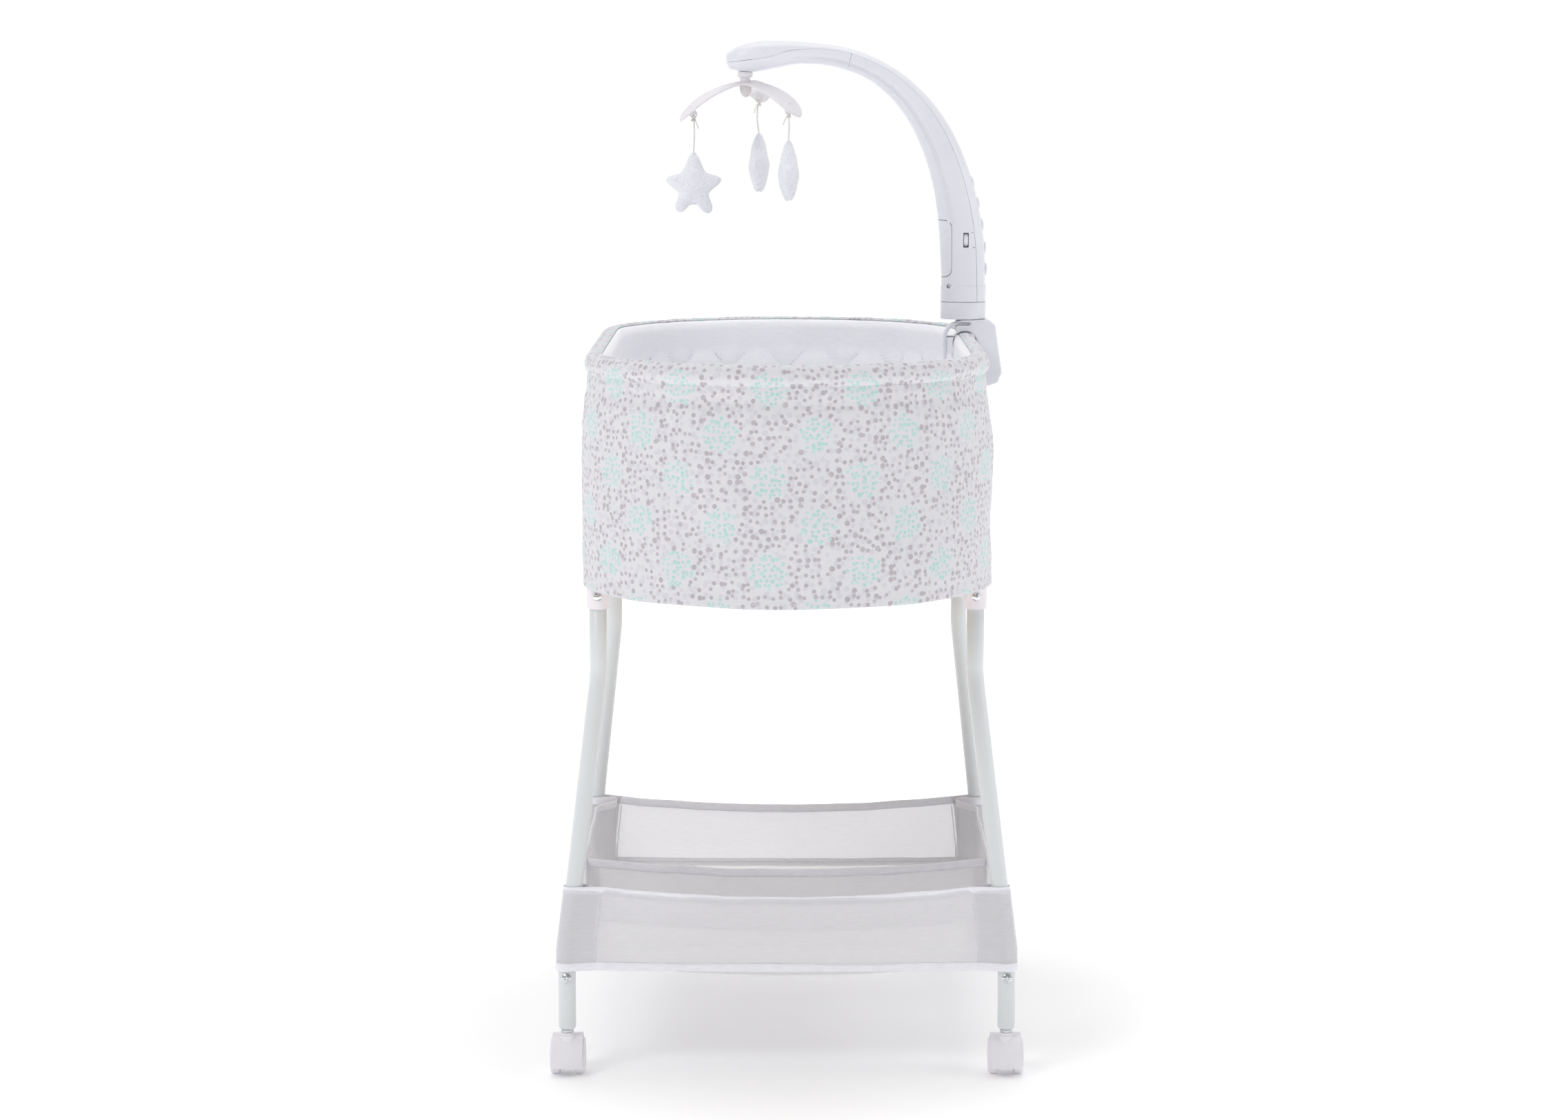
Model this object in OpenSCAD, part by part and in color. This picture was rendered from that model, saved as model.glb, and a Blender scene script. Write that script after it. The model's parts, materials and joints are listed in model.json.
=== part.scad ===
// Bassinet on a four-legged stand with swivel casters, a fabric shelf bin and a mobile arm.
// X runs across, Y runs along, Z is up. The origin is the centre of the base, on the floor.

/* [Basket] */
// Width of the basket across the padded rim
basket_w = 443; // [436:1:450]
// Length of the basket across the padded rim
basket_l = 815; // [790:5:840]
// Height of the rim's top above the floor
rim_top = 786; // [780:1:792]
// Radius of the padded roll round the top rail
pad_r = 14; // [13:0.5:15]
// Height of the outer fabric's lower hem
hem_z = 532; // [530:1:534]
// Thickness of the mattress pad
mattress_t = 27; // [20:1:35]

/* [Stand] */
// Outer radius of the leg tubes
leg_r = 9.5; // [9:0.1:9.7]
// Half the distance between the legs across, at the top
leg_top_x = 206.5; // [205:0.5:207]
// Half the distance between the legs along, at the top
leg_top_y = 200; // [195:1:205]
// Half the distance between the legs across, at the casters
leg_foot_x = 239; // [235:1:245]
// Half the distance between the legs along, at the casters
leg_foot_y = 275; // [265:1:285]
// Radius of the bends in the legs
bend_r = 80; // [60:5:100]

/* [Casters] */
// Radius of the caster wheels
wheel_r = 20; // [19:0.5:20.5]
// Distance that the axle trails behind the swivel pin
trail = 10; // [8:0.5:11]

/* [Storage bin] */
// Height of the lower hem of the bin's end panels
bin_z0 = 118; // [116:1:120]
// Height of the upper hem of the bin's end panels at the legs
bin_z1 = 207; // [195:1:215]
// How far the upper hems sag between the legs
bin_sag = 12; // [4:1:18]

/* [Mobile] */
// Position of the mobile arm along the basket
arm_y = 120; // [110:1:130]
// Height of the top of the arm's curve, at its centreline
arm_top = 1107; // [1100:1:1115]
// Tilt of the spinner plate towards the foot end, in degrees
spinner_tilt = 8; // [0:1:9]
// Radius of the spinner's blade tips
blade_r = 82; // [78:1:88]

/* [Hidden] */
$fn = 64;

// Rails: stadium plans with the same arc centres, at Y = +-straight
rail_r = 8;
rail_bore = 6.5;
rail_hw = basket_w / 2 - pad_r;
straight = basket_l / 2 - pad_r - rail_hw;
rail_z = rim_top - pad_r;
base_z = 545;
post_r = 6;
post_y = 150;
cross_r = 6;
board_z = base_z + rail_r;
board_t = 5;
fabric_t = 2.5;
liner_hw = rail_hw - 6.5;

// Legs: a vertical top, a slanted shank and a vertical foot, in one upright plane
leg_wall = 1.5;
leg_cap_z = 533;
leg_join_z = 125;
leg_low_z = 53;
insert_z = 95;
bend_top_z = 440;
bend_low_z = 130;
splay_az = atan2(leg_foot_y - leg_top_y, leg_foot_x - leg_top_x);
splay_d = norm([leg_foot_x - leg_top_x, leg_foot_y - leg_top_y]);
splay_h = bend_top_z - bend_low_z;
splay = asin(2 * bend_r / norm([splay_h, 2 * bend_r - splay_d]))
    - atan2(2 * bend_r - splay_d, splay_h);
bend_mid_z = bend_low_z + bend_r * tan(splay / 2);
screw_z = 110;
bolt_z = 518;
bolt_r = 3;
sleeve_r = 12.3;
sleeve_z = 504;

// Casters
axle_z = wheel_r;
hood_r = wheel_r + 5;
hood_w = 33;
pin_r = 4;
axle_r = 2.5;
run_gap = 0.05;
lever_r = hood_r + 3.3;
lever_az = 50;

// Storage bin
bin_hw = 233;
bin_floor_z = 103;
bin_floor_rise = 13;
divider_y = -35;
divider_z = 190;

// Mobile arm: a superellipse quarter above a short straight foot, then a bulbous head
arm_x = leg_top_x - 0.5;
collar_z = 799.8;
arm_z = 820.4;
curve_z = 830;
curve_x = 10;
curve_w = arm_x - curve_x;
curve_h = arm_top - curve_z;
curve_n = 2.4;
head_len = 76;
head_drop = 9;
foot_share = 0.04;
head_share = 0.80;
shell_t = 2.2;
seam_az = 60;
door_az = 118;
stations = 40;
seam_station = 27;
hub_x = -48;
hub_z = 1074.5;
button_zs = [857, 881, 906, 930, 953];
button_r = 7.5;
volume_z = 892;
volume_x = arm_x + 2;
volume_y = arm_y - 12.3;
clamp_w = 40;
clasp_r = 17.2;
clasp_t = 3.2;
clasp_x = rail_hw - 7;
clasp_z = rail_z + 7;

// Spinner and toys
plate_r = 114;
plate_t = 3;
hook_r = 65;
blade_az = [197.5, 77.5, -42.5];
star_tops = [993.5, 1015, 1008];
star_turns = [4, 84, 97];
string_r = 0.9;
star_r = 26.5;
star_lobe = 11;
star_t = 22;
string_sways = [[1, 0], [-2, 0], [0.6, 0]];

// ---------- helpers ----------

// Mirrors the +X +Y corner to any corner
module corner(sx, sy) {
    mirror([sx < 0 ? 1 : 0, 0, 0]) mirror([0, sy < 0 ? 1 : 0, 0]) children();
}

// Sweeps a profile round the basket's plan; profile X is measured from the arc centres
module round_plan() {
    for (turn = [0, 180]) rotate([0, 0, turn]) {
        translate([0, straight, 0]) rotate_extrude(angle = 180, $fn = 120) children();
        translate([0, straight, 0]) rotate([90, 0, 0]) linear_extrude(2 * straight) children();
    }
}

module plan_slab(hw, z, h) {
    translate([0, 0, z]) linear_extrude(h) {
        for (s = [-1, 1]) translate([0, s * straight]) circle(hw, $fn = 120);
        square([2 * hw, 2 * straight], center = true);
    }
}

module rail_core(z) {
    round_plan() translate([rail_hw, z]) circle(rail_r);
}

module ring(outer, inner) {
    difference() {
        circle(outer);
        if (inner > 0) circle(inner);
    }
}

// Takes a Y-Z outline and gives it a width along X
module across(w) {
    rotate([90, 0, 90]) linear_extrude(w, center = true) children();
}

// Takes an X-Z outline and gives it a width along Y, centred on y
module along(w, y = 0) {
    translate([0, y, 0]) rotate([90, 0, 0]) linear_extrude(w, center = true) children();
}

// The wedge of a disc between two angles, for cutting arcs
module wedge(from, to, r = 80) {
    steps = 6;
    polygon(concat(
        [[0, 0]],
        [for (i = [0:steps]) let (a = from + (to - from) * i / steps) r * [cos(a), sin(a)]]
    ));
}

function wall_outline(outer, t) =
    concat(outer, [for (i = [len(outer) - 1:-1:0]) outer[i] - [t, 0]]);

// ---------- basket ----------

module top_rail() {
    color("Gainsboro") round_plan() translate([rail_hw, rail_z]) ring(rail_r, rail_bore);
}

module base_rail() {
    color("Gainsboro") round_plan() translate([rail_hw, base_z]) ring(rail_r, rail_bore);
}

module cross_rails() {
    color("Gainsboro") difference() {
        for (s = [-1, 1]) translate([-rail_hw, s * leg_top_y, base_z]) rotate([0, 90, 0])
            linear_extrude(2 * rail_hw) ring(cross_r, cross_r - 1.5);
        rail_core(base_z);
    }
}

module corner_posts() {
    color("Gainsboro") difference() {
        for (sx = [-1, 1], sy = [-1, 1]) translate([sx * rail_hw, sy * post_y, base_z])
            cylinder(r = post_r, h = rail_z - base_z);
        rail_core(base_z);
        rail_core(rail_z);
    }
}

module base_board() {
    color("BurlyWood") difference() {
        plan_slab(rail_hw, board_z, board_t);
        for (sx = [-1, 1], sy = [-1, 1]) translate([sx * rail_hw, sy * post_y, board_z - 1])
            cylinder(r = post_r + 0.5, h = board_t + 2);
    }
}

module mattress_pad() {
    color("White") plan_slab(rail_hw - pad_r - 1, board_z + board_t + 0.4, mattress_t);
}

module liner() {
    color("WhiteSmoke") round_plan() polygon(wall_outline([
        [liner_hw, board_z + board_t + 0.4],
        [liner_hw, rail_z - 16]
    ], fabric_t));
}

// The outer fabric bellies out a little and draws in under the rim
module outer_skirt() {
    hw = basket_w / 2;
    color("Lavender") round_plan() polygon(wall_outline([
        [hw + 1, hem_z],
        [hw + 3, hem_z + 30],
        [hw + 3.5, hem_z + 90],
        [hw + 2.5, hem_z + 150],
        [hw, rail_z - 40],
        [hw - 1.5, rail_z - 16]
    ], fabric_t));
}

module rim_padding() {
    slot_hw = post_r + 0.3;
    color("Lavender") round_plan() translate([rail_hw, rail_z]) difference() {
        circle(pad_r);
        circle(rail_r);
        translate([-slot_hw, -2 * pad_r]) square([2 * slot_hw, 2 * pad_r]);
    }
}

// ---------- stand ----------

// The leg's centreline in its own plane: [out, up, slant] from the bracket down to the lower leg
leg_line = concat(
    [[0, leg_cap_z, 0]],
    [for (k = [0:4]) let (a = splay * k / 4)
        [bend_r * (1 - cos(a)), bend_top_z - bend_r * sin(a), a]],
    [for (k = [4:-1:0]) let (a = splay * k / 4)
        [splay_d - bend_r * (1 - cos(a)), bend_low_z + bend_r * sin(a), a]],
    [[splay_d, leg_join_z, 0]]
);

// A hollow tube along the leg's centreline
module leg_shank(outer, inner, sides = 20) {
    n = len(leg_line);
    pts = [for (p = leg_line, r = [outer, inner], i = [0:sides - 1]) let (a = 360 * i / sides)
        [p[0] + r * cos(a) * cos(p[2]), r * sin(a), p[1] + r * cos(a) * sin(p[2])]];
    function o(k, i) = 2 * k * sides + i % sides;
    translate([leg_top_x, leg_top_y, 0]) rotate([0, 0, splay_az]) polyhedron(pts, concat(
        [for (k = [0:n - 2], i = [0:sides - 1]) [o(k, i), o(k, i + 1), o(k + 1, i + 1), o(k + 1, i)]],
        [for (k = [0:n - 2], i = [0:sides - 1])
            sides * [1, 1, 1, 1] + [o(k, i + 1), o(k, i), o(k + 1, i), o(k + 1, i + 1)]],
        [for (i = [0:sides - 1]) let (j = (i + 1) % sides) [j, i, sides + i, sides + j]],
        [for (i = [0:sides - 1]) let (j = (i + 1) % sides, e = 2 * (n - 1) * sides)
            [e + i, e + j, e + sides + j, e + sides + i]]
    ), convexity = 6);
}

// The space round a leg near its foot, as two straight rods that meet at the bend
module foot_rods(r) {
    translate([leg_foot_x, leg_foot_y, 60]) cylinder(r = r, h = bend_mid_z - 60);
    translate([leg_foot_x, leg_foot_y, bend_mid_z]) rotate([0, 0, splay_az]) rotate([0, -splay, 0])
        translate([0, 0, -r * tan(splay)]) cylinder(r = r, h = 130);
}

// The screw's hole runs from the leg's middle out through its end-facing wall
module leg_screw_hole() {
    translate([leg_foot_x, leg_foot_y, screw_z]) rotate([-90, 0, 0]) cylinder(r = 2.5, h = 20);
}

module bolt_hole() {
    translate([leg_top_x, leg_top_y, bolt_z]) rotate([-90, 0, 0]) cylinder(r = bolt_r, h = 20);
}

module upper_leg(sx, sy) {
    bore = leg_r - leg_wall;
    color("Gainsboro") corner(sx, sy) {
        difference() {
            leg_shank(leg_r, bore);
            bolt_hole();
        }
        difference() {
            translate([leg_foot_x, leg_foot_y, 0]) rotate_extrude() polygon([
                [bore - leg_wall, insert_z],
                [bore - run_gap, insert_z],
                [bore - run_gap, leg_join_z - 2],
                [leg_r, leg_join_z - 2],
                [leg_r, leg_join_z],
                [bore - leg_wall, leg_join_z]
            ]);
            leg_screw_hole();
        }
    }
}

module lower_legs() {
    bore = leg_r - leg_wall;
    color("Gainsboro") for (sx = [-1, 1], sy = [-1, 1]) corner(sx, sy) difference() {
        translate([leg_foot_x, leg_foot_y, 0]) rotate_extrude() polygon([
            [bore, leg_low_z],
            [leg_r - 1.2, leg_low_z],
            [leg_r, leg_low_z + 1.8],
            [leg_r, leg_join_z - 2],
            [bore, leg_join_z - 2]
        ]);
        leg_screw_hole();
    }
}

module leg_screws() {
    color("Silver") for (sx = [-1, 1], sy = [-1, 1]) corner(sx, sy)
        translate([leg_foot_x, leg_foot_y, screw_z]) rotate([-90, 0, 0]) difference() {
            union() {
                translate([0, 0, 2]) cylinder(r = 2.5, h = leg_r - 1);
                translate([0, 0, leg_r]) cylinder(r = 5.5, h = 1.6);
                intersection() {
                    translate([0, 0, leg_r + 1.6 - 8]) sphere(sqrt(64 + 30.25));
                    translate([0, 0, leg_r + 1.6]) cylinder(r = 5.5, h = 4);
                }
            }
            for (turn = [0, 90]) rotate([0, 0, turn]) translate([0, 0, leg_r + 3.4])
                cube([5.6, 1.1, 2.6], center = true);
        }
}

// A sleeve for the leg, a saddle for the base rail and a gusset under the cross rail
module bracket(sx, sy) {
    gusset_x = 165;
    color("MistyRose") corner(sx, sy) difference() {
        union() {
            translate([leg_top_x, leg_top_y, sleeve_z]) cylinder(r = sleeve_r, h = leg_cap_z - sleeve_z);
            translate([leg_top_x - 10, leg_top_y - sleeve_r, bolt_z + 8])
                cube([20, 2 * sleeve_r, base_z - bolt_z - 8]);
            along(9, leg_top_y) polygon([
                [leg_top_x, sleeve_z + 1],
                [leg_top_x, base_z - 2],
                [gusset_x, base_z - 2],
                [gusset_x, base_z - 9],
                [gusset_x + 6, base_z - 16]
            ]);
        }
        translate([leg_top_x, leg_top_y, sleeve_z - 1]) cylinder(r = leg_r, h = leg_cap_z - sleeve_z + 1);
        translate([0, leg_top_y, base_z]) rotate([0, 90, 0]) cylinder(r = cross_r, h = rail_hw);
        rail_core(base_z);
        bolt_hole();
    }
}

module bracket_bolts() {
    head_h = 3.6;
    head_r = 5;
    ball_r = (head_r * head_r + head_h * head_h) / (2 * head_h);
    color("Silver") for (sx = [-1, 1], sy = [-1, 1]) corner(sx, sy)
        translate([leg_top_x, leg_top_y, bolt_z]) rotate([-90, 0, 0]) {
            translate([0, 0, 3]) cylinder(r = bolt_r, h = sleeve_r - 3);
            translate([0, 0, sleeve_r]) intersection() {
                translate([0, 0, head_h - ball_r]) sphere(ball_r);
                cylinder(r = head_r, h = head_h + 1);
            }
        }
}

// ---------- casters ----------

// Puts a caster, drawn round its swivel pin, under the leg of a corner
module at_foot(sx, sy) {
    translate([sx * leg_foot_x, sy * leg_foot_y, 0]) children();
}

module caster_stems() {
    bore = leg_r - leg_wall;
    color("Silver") for (sx = [-1, 1], sy = [-1, 1]) at_foot(sx, sy) rotate_extrude() polygon([
        [0, 33],
        [pin_r, 33],
        [pin_r, 48.4],
        [6.3, 48.4],
        [6.3, leg_low_z],
        [bore, leg_low_z],
        [bore, 78],
        [0, 78]
    ]);
}

// The twin-wheel hood: an arched cover, a web between the wheels, a stem boss and the axle
module caster_hood(sx, sy, braked) {
    lip = 204;
    tail = 36;
    color("MistyRose") at_foot(sx, sy) difference() {
        union() {
            translate([0, trail, axle_z]) {
                across(hood_w) difference() {
                    circle(hood_r);
                    circle(hood_r - 3.5);
                    wedge(lip, 360 + tail);
                }
                across(12) difference() {
                    circle(hood_r - 2);
                    wedge(165, 420);
                }
                across(12) circle(6.5);
                if (braked) for (s = [-1, 1]) translate([s * 11.8, 0, 0]) across(3)
                    translate(lever_r * [cos(lever_az), sin(lever_az)]) circle(4.2);
            }
            translate([0, 0, 31]) cylinder(r = 7.8, h = axle_z + hood_r - 31);
            translate([0, 0, axle_z + hood_r - 2]) cylinder(r = 6.4, h = 5);
        }
        translate([0, 0, 32.6]) cylinder(r = pin_r + run_gap, h = 30);
        if (braked) translate([0, trail, axle_z]) across(40)
            translate(lever_r * [cos(lever_az), sin(lever_az)]) circle(1.5 + run_gap);
        translate([0, trail, axle_z]) across(20) circle(axle_r);
    }
    color("Silver") at_foot(sx, sy) translate([0, trail, axle_z]) across(35) circle(axle_r);
}

module caster_wheels(sx, sy) {
    color("MistyRose") at_foot(sx, sy) translate([0, trail, axle_z]) for (s = [-1, 1])
        rotate([0, s * 90, 0]) rotate_extrude() polygon([
            [axle_r + run_gap, 8.4],
            [wheel_r - 1, 8.4],
            [wheel_r, 9.4],
            [wheel_r, 16.6],
            [wheel_r - 1.6, 18.9],
            [14, 19.2],
            [13, 17.8],
            [5.5, 17.8],
            [4.5, 19.2],
            [axle_r + run_gap, 19.2]
        ]);
}

module brake_lever(sx, sy) {
    tab = 17;
    color("LightGray") at_foot(sx, sy) translate([0, trail, axle_z]) {
        across(19.4) translate(lever_r * [cos(lever_az), sin(lever_az)]) {
            circle(2.8);
            polygon([[0, -1.5], [tab, -2.5], [tab + 2, 1.5], [tab, 2.6], [0, 2.4]]);
        }
        across(26) translate(lever_r * [cos(lever_az), sin(lever_az)]) circle(1.5);
    }
}

// ---------- storage bin ----------

function foot_y(z) = leg_foot_y - max(0, z - bend_mid_z) * tan(splay) * sin(splay_az);

function sag_line(hw, z, sag) =
    [for (i = [-6:6]) [hw * i / 6, z - sag * (1 - pow(i / 6, 2))]];

// The space over a sagging edge that runs along the outline's X
module above_sag(hw, z, sag) {
    wide = hw + 60;
    polygon(concat(
        sag_line(hw, z, sag),
        [[wide, z], [wide, z + 200], [-wide, z + 200], [-wide, z]]
    ));
}

// An end panel hangs between two legs, with a sleeve round each
module storage_panel(sy) {
    t = fabric_t / 2;
    color("Lavender") mirror([0, sy < 0 ? 1 : 0, 0]) difference() {
        union() {
            difference() {
                across(2 * leg_foot_x - 12) polygon([
                    [leg_foot_y - t, bin_z0],
                    [leg_foot_y + t, bin_z0],
                    [leg_foot_y + t, bend_mid_z],
                    [foot_y(bin_z1) + t, bin_z1],
                    [foot_y(bin_z1) - t, bin_z1],
                    [leg_foot_y - t, bend_mid_z]
                ]);
                along(200, leg_foot_y) above_sag(leg_foot_x - 22, bin_z1, bin_sag);
            }
            for (sx = [-1, 1]) corner(sx, 1) intersection() {
                foot_rods(leg_r + 2.8);
                translate([leg_foot_x - 60, leg_foot_y - 80, bin_z0]) cube([100, 120, bin_z1 - bin_z0]);
            }
        }
        for (sx = [-1, 1]) corner(sx, 1) foot_rods(leg_r + 0.9);
    }
}

// The bin's inside, shrunk by an inset
module bin_space(inset) {
    hw = bin_hw - inset;
    polygon(concat(
        [for (i = [-8:8]) [hw * i / 8, bin_floor_z + inset + bin_floor_rise * pow(i / 8, 2)]],
        [[hw + 3, 150], [hw + 1, 240], [-hw - 1, 240], [-hw - 3, 150]]
    ));
}

// The bin follows the slant of its end panels
module between_panels(gap) {
    across(600) polygon([
        [-leg_foot_y + gap, 90],
        [leg_foot_y - gap, 90],
        [leg_foot_y - gap, bend_mid_z],
        [foot_y(bin_z1) - gap, bin_z1],
        [-foot_y(bin_z1) + gap, bin_z1],
        [-leg_foot_y + gap, bend_mid_z]
    ]);
}

module storage_bin() {
    wall_sag = 12;
    color("Lavender") difference() {
        intersection() {
            along(600) difference() {
                bin_space(0);
                bin_space(fabric_t);
            }
            between_panels(fabric_t / 2 + 0.1);
        }
        across(600) above_sag(leg_foot_y - 10, bin_z1 - 4, wall_sag);
        for (sx = [-1, 1], sy = [-1, 1]) corner(sx, sy) foot_rods(leg_r + 3.1);
    }
}

module storage_divider() {
    color("White") intersection() {
        along(fabric_t, divider_y) difference() {
            bin_space(fabric_t + 0.2);
            above_sag(bin_hw, divider_z, bin_sag);
        }
        translate([-300, -200, 0]) cube([600, 400, divider_z]);
    }
}

// ---------- clamp ----------

module clasp_outline() {
    difference() {
        translate([clasp_x, clasp_z]) difference() {
            circle(clasp_r);
            circle(clasp_r - clasp_t);
        }
        translate([clasp_x, clasp_z - 40]) square([40, 80]);
        translate([clasp_x - 40, clasp_z - 40]) square([80, 40]);
    }
    translate([clasp_x - clasp_r, rail_z - 22]) square([clasp_t, clasp_z - rail_z + 22]);
    translate([clasp_x, clasp_z + clasp_r - clasp_t]) square([14, clasp_t]);
}

module clamp_housing() {
    top = collar_z - 0.3;
    back = rail_hw + 19;
    color("GhostWhite") along(clamp_w, arm_y) difference() {
        polygon([
            [clasp_x - 3.5, rail_z + pad_r],
            [clasp_x - 3.5, top - 2.5],
            [clasp_x + 4, top],
            [back + 8, top],
            [back + 16.5, top - 6.5],
            [back + 24.5, top - 61.5],
            [back + 19.5, top - 73.5],
            [back + 9.5, top - 77],
            [back, top - 77],
            [back, rail_z - 7],
            [rail_hw, rail_z - 7]
        ]);
        translate([rail_hw, rail_z]) circle(pad_r);
        clasp_outline();
    }
    color("GhostWhite") translate([arm_x, arm_y, top]) cylinder(r = 8, h = 15);
}

module clamp_hook() {
    color("GhostWhite") along(clamp_w - 10, arm_y) clasp_outline();
}

module clamp_pad() {
    color("Gainsboro") along(clamp_w - 12, arm_y) difference() {
        translate([clasp_x - clasp_r + clasp_t, rail_z - 12]) square([12, 19]);
        translate([rail_hw, rail_z]) circle(pad_r);
    }
}

// ---------- mobile arm ----------

// Half-thickness of the arm in its plane and across it, by the centreline's X
function arm_a(x) = lookup(x, [
    [-66, 5], [-61, 11], [-48, 16], [-30, 17.3], [-8, 15.5], [12, 13], [40, 12], [105, 13.2],
    [140, 15.9], [176, 20.4], [195, 23], [203, 25.8], [206, 26.5]
]);
function arm_b(x) = lookup(x, [
    [-66, 6], [-61, 13], [-48, 18], [-30, 19], [12, 15], [72, 14], [160, 18], [206, 21]
]);

// The centreline, in X and Z, from the foot at 0 to the head's tip at 1
function curve_at(a) =
    [curve_x + curve_w * pow(cos(a), 2 / curve_n), curve_z + curve_h * pow(sin(a), 2 / curve_n)];
function centreline(t) =
    t <= foot_share ? [arm_x, arm_z + (curve_z - arm_z) * t / foot_share]
    : t <= head_share ? curve_at(90 * (t - foot_share) / (head_share - foot_share))
    : let (u = (t - head_share) / (1 - head_share))
        [curve_x - head_len * u, arm_top - head_drop * pow(u, 1.5)];
function curve_angle(z) = asin(pow((z - curve_z) / curve_h, curve_n / 2));
function share_at(z) = foot_share + (head_share - foot_share) * curve_angle(z) / 90;
function outward(t) =
    let (d = centreline(min(1, t + 0.004)) - centreline(max(0, t - 0.004)))
    [d[1], -d[0]] / norm(d);

// A point of the cross-section at share t: angle 0 faces outwards, 90 faces -Y
function skin(t, az, inset) =
    let (
        c = centreline(t),
        n = outward(t),
        u = (arm_a(c[0]) - inset) * sign(cos(az)) * pow(abs(cos(az)), 0.8),
        v = (arm_b(c[0]) - inset) * sign(sin(az)) * pow(abs(sin(az)), 0.8)
    )
    [c[0] + n[0] * u, arm_y - v, c[1] + n[1] * u];

function shares(from, to) = [for (k = [from:to]) k / stations];
function span(from, to, n) = [for (k = [0:n]) from + (to - from) * k / n];

// Both shells take their stations from the same three runs, so that their edges meet along the seam
door_low = share_at(849);
door_high = share_at(915);
shares_below = [for (t = shares(0, seam_station)) if (t < door_low) t];
shares_beside = span(door_low, door_high, 7);
shares_above = [for (t = shares(0, seam_station)) if (t > door_high) t];
shares_head = shares(seam_station + 1, stations);

// A curved strip of shell through the shares in ts and the angles in azs. A window, if any,
// leaves the cells from share k0 to k1 and from angle i0 to i1 open.
module shell_strip(ts, azs, k0 = 0, k1 = 0, i0 = 0, i1 = 0) {
    nk = len(ts) - 1;
    ni = len(azs) - 1;
    pts = [for (t = ts, az = azs, inset = [0, shell_t]) skin(t, az, inset)];
    function o(k, i) = (k * (ni + 1) + i) * 2;
    function open(k, i) = k >= k0 && k < k1 && i >= i0 && i < i1;
    polyhedron(pts, concat(
        [for (k = [0:nk - 1], i = [0:ni - 1]) if (!open(k, i))
            [o(k, i + 1), o(k, i), o(k + 1, i), o(k + 1, i + 1)]],
        [for (k = [0:nk - 1], i = [0:ni - 1]) if (!open(k, i))
            [o(k, i) + 1, o(k, i + 1) + 1, o(k + 1, i + 1) + 1, o(k + 1, i) + 1]],
        [for (i = [0:ni - 1]) [o(0, i), o(0, i + 1), o(0, i + 1) + 1, o(0, i) + 1]],
        [for (i = [0:ni - 1]) [o(nk, i) + 1, o(nk, i + 1) + 1, o(nk, i + 1), o(nk, i)]],
        [for (k = [0:nk - 1]) [o(k, 0), o(k, 0) + 1, o(k + 1, 0) + 1, o(k + 1, 0)]],
        [for (k = [0:nk - 1]) [o(k, ni) + 1, o(k, ni), o(k + 1, ni), o(k + 1, ni) + 1]],
        [for (i = [i0:1:i1 - 1]) [o(k0, i) + 1, o(k0, i + 1) + 1, o(k0, i + 1), o(k0, i)]],
        [for (i = [i0:1:i1 - 1]) [o(k1, i), o(k1, i + 1), o(k1, i + 1) + 1, o(k1, i) + 1]],
        [for (k = [k0:1:k1 - 1]) [o(k, i0) + 1, o(k, i0), o(k + 1, i0), o(k + 1, i0) + 1]],
        [for (k = [k0:1:k1 - 1]) [o(k, i1), o(k, i1) + 1, o(k + 1, i1) + 1, o(k + 1, i1)]]
    ), convexity = 8);
}

// Places its children on the arm's outer face at height z, with +Z pointing out
module on_face(z) {
    t = share_at(z);
    n = outward(t);
    p = skin(t, 0, 0);
    translate(p) rotate([0, atan2(n[0], n[1]), 0]) children();
}

module volume_disc(r, w) {
    translate([volume_x, volume_y, volume_z]) rotate([0, 90, 0]) cylinder(r = r, h = w, center = true);
}

// Room for the wheel, and its slot in the skin
module volume_slot() {
    volume_disc(9.6, 6.2);
    translate([volume_x, arm_y - 20, volume_z]) cube([6.2, 8, 17], center = true);
}

module arm_collar() {
    color("GhostWhite") difference() {
        translate([0, 0, collar_z]) linear_extrude(arm_z - collar_z - 0.4)
            polygon([for (i = [0:47]) let (p = skin(0, i * 7.5, 0)) [p[0], p[1]]]);
        translate([arm_x, arm_y, collar_z - 1]) cylinder(r = 8 + run_gap, h = 17);
    }
}

module arm_outer_shell() {
    color("GhostWhite") difference() {
        shell_strip(
            concat(shares_below, shares_beside, shares_above, shares_head),
            span(-seam_az, seam_az, 10)
        );
        for (z = button_zs) on_face(z) translate([0, 0, -12]) cylinder(r = button_r + 0.4, h = 24);
    }
}

module arm_inner_shell() {
    k0 = len(shares_below);
    color("White") difference() {
        shell_strip(
            concat(shares_below, shares_beside, shares_above),
            concat(
                span(seam_az, door_az, 5),
                span(door_az + 10.33, 360 - door_az - 10.33, 10),
                span(360 - door_az, 360 - seam_az, 5)
            ),
            k0, k0 + 7, 5, 17
        );
        volume_slot();
    }
}

module head_cover() {
    color("White") difference() {
        shell_strip(shares(seam_station, stations), span(seam_az, 360 - seam_az, 18));
        translate([hub_x, arm_y, hub_z]) cylinder(r = 3.2, h = 20);
    }
}

module battery_door() {
    edge = 1.4;
    color("White") shell_strip(
        span(share_at(849.6), share_at(914.4), 7),
        span(door_az + edge, 360 - door_az - edge, 12)
    );
}

module battery_cells() {
    color("DarkSlateGray") for (s = [-1, 1]) translate([arm_x - 12.5, arm_y + s * 7.6, 853]) {
        cylinder(r = 7.2, h = 49);
        translate([0, 0, 49]) cylinder(r = 2.7, h = 1.5);
    }
}

module circuit_board() {
    color("SeaGreen") translate([arm_x + 2, arm_y - 0.5, 848]) cube([1.6, 13, 80]);
}

module motor_unit() {
    color("Silver") translate([hub_x, arm_y, 0]) difference() {
        translate([0, 0, hub_z + 15]) cylinder(r = 8, h = 17);
        translate([0, 0, hub_z + 14]) cylinder(r = 2 + run_gap, h = 9);
    }
}

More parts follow.
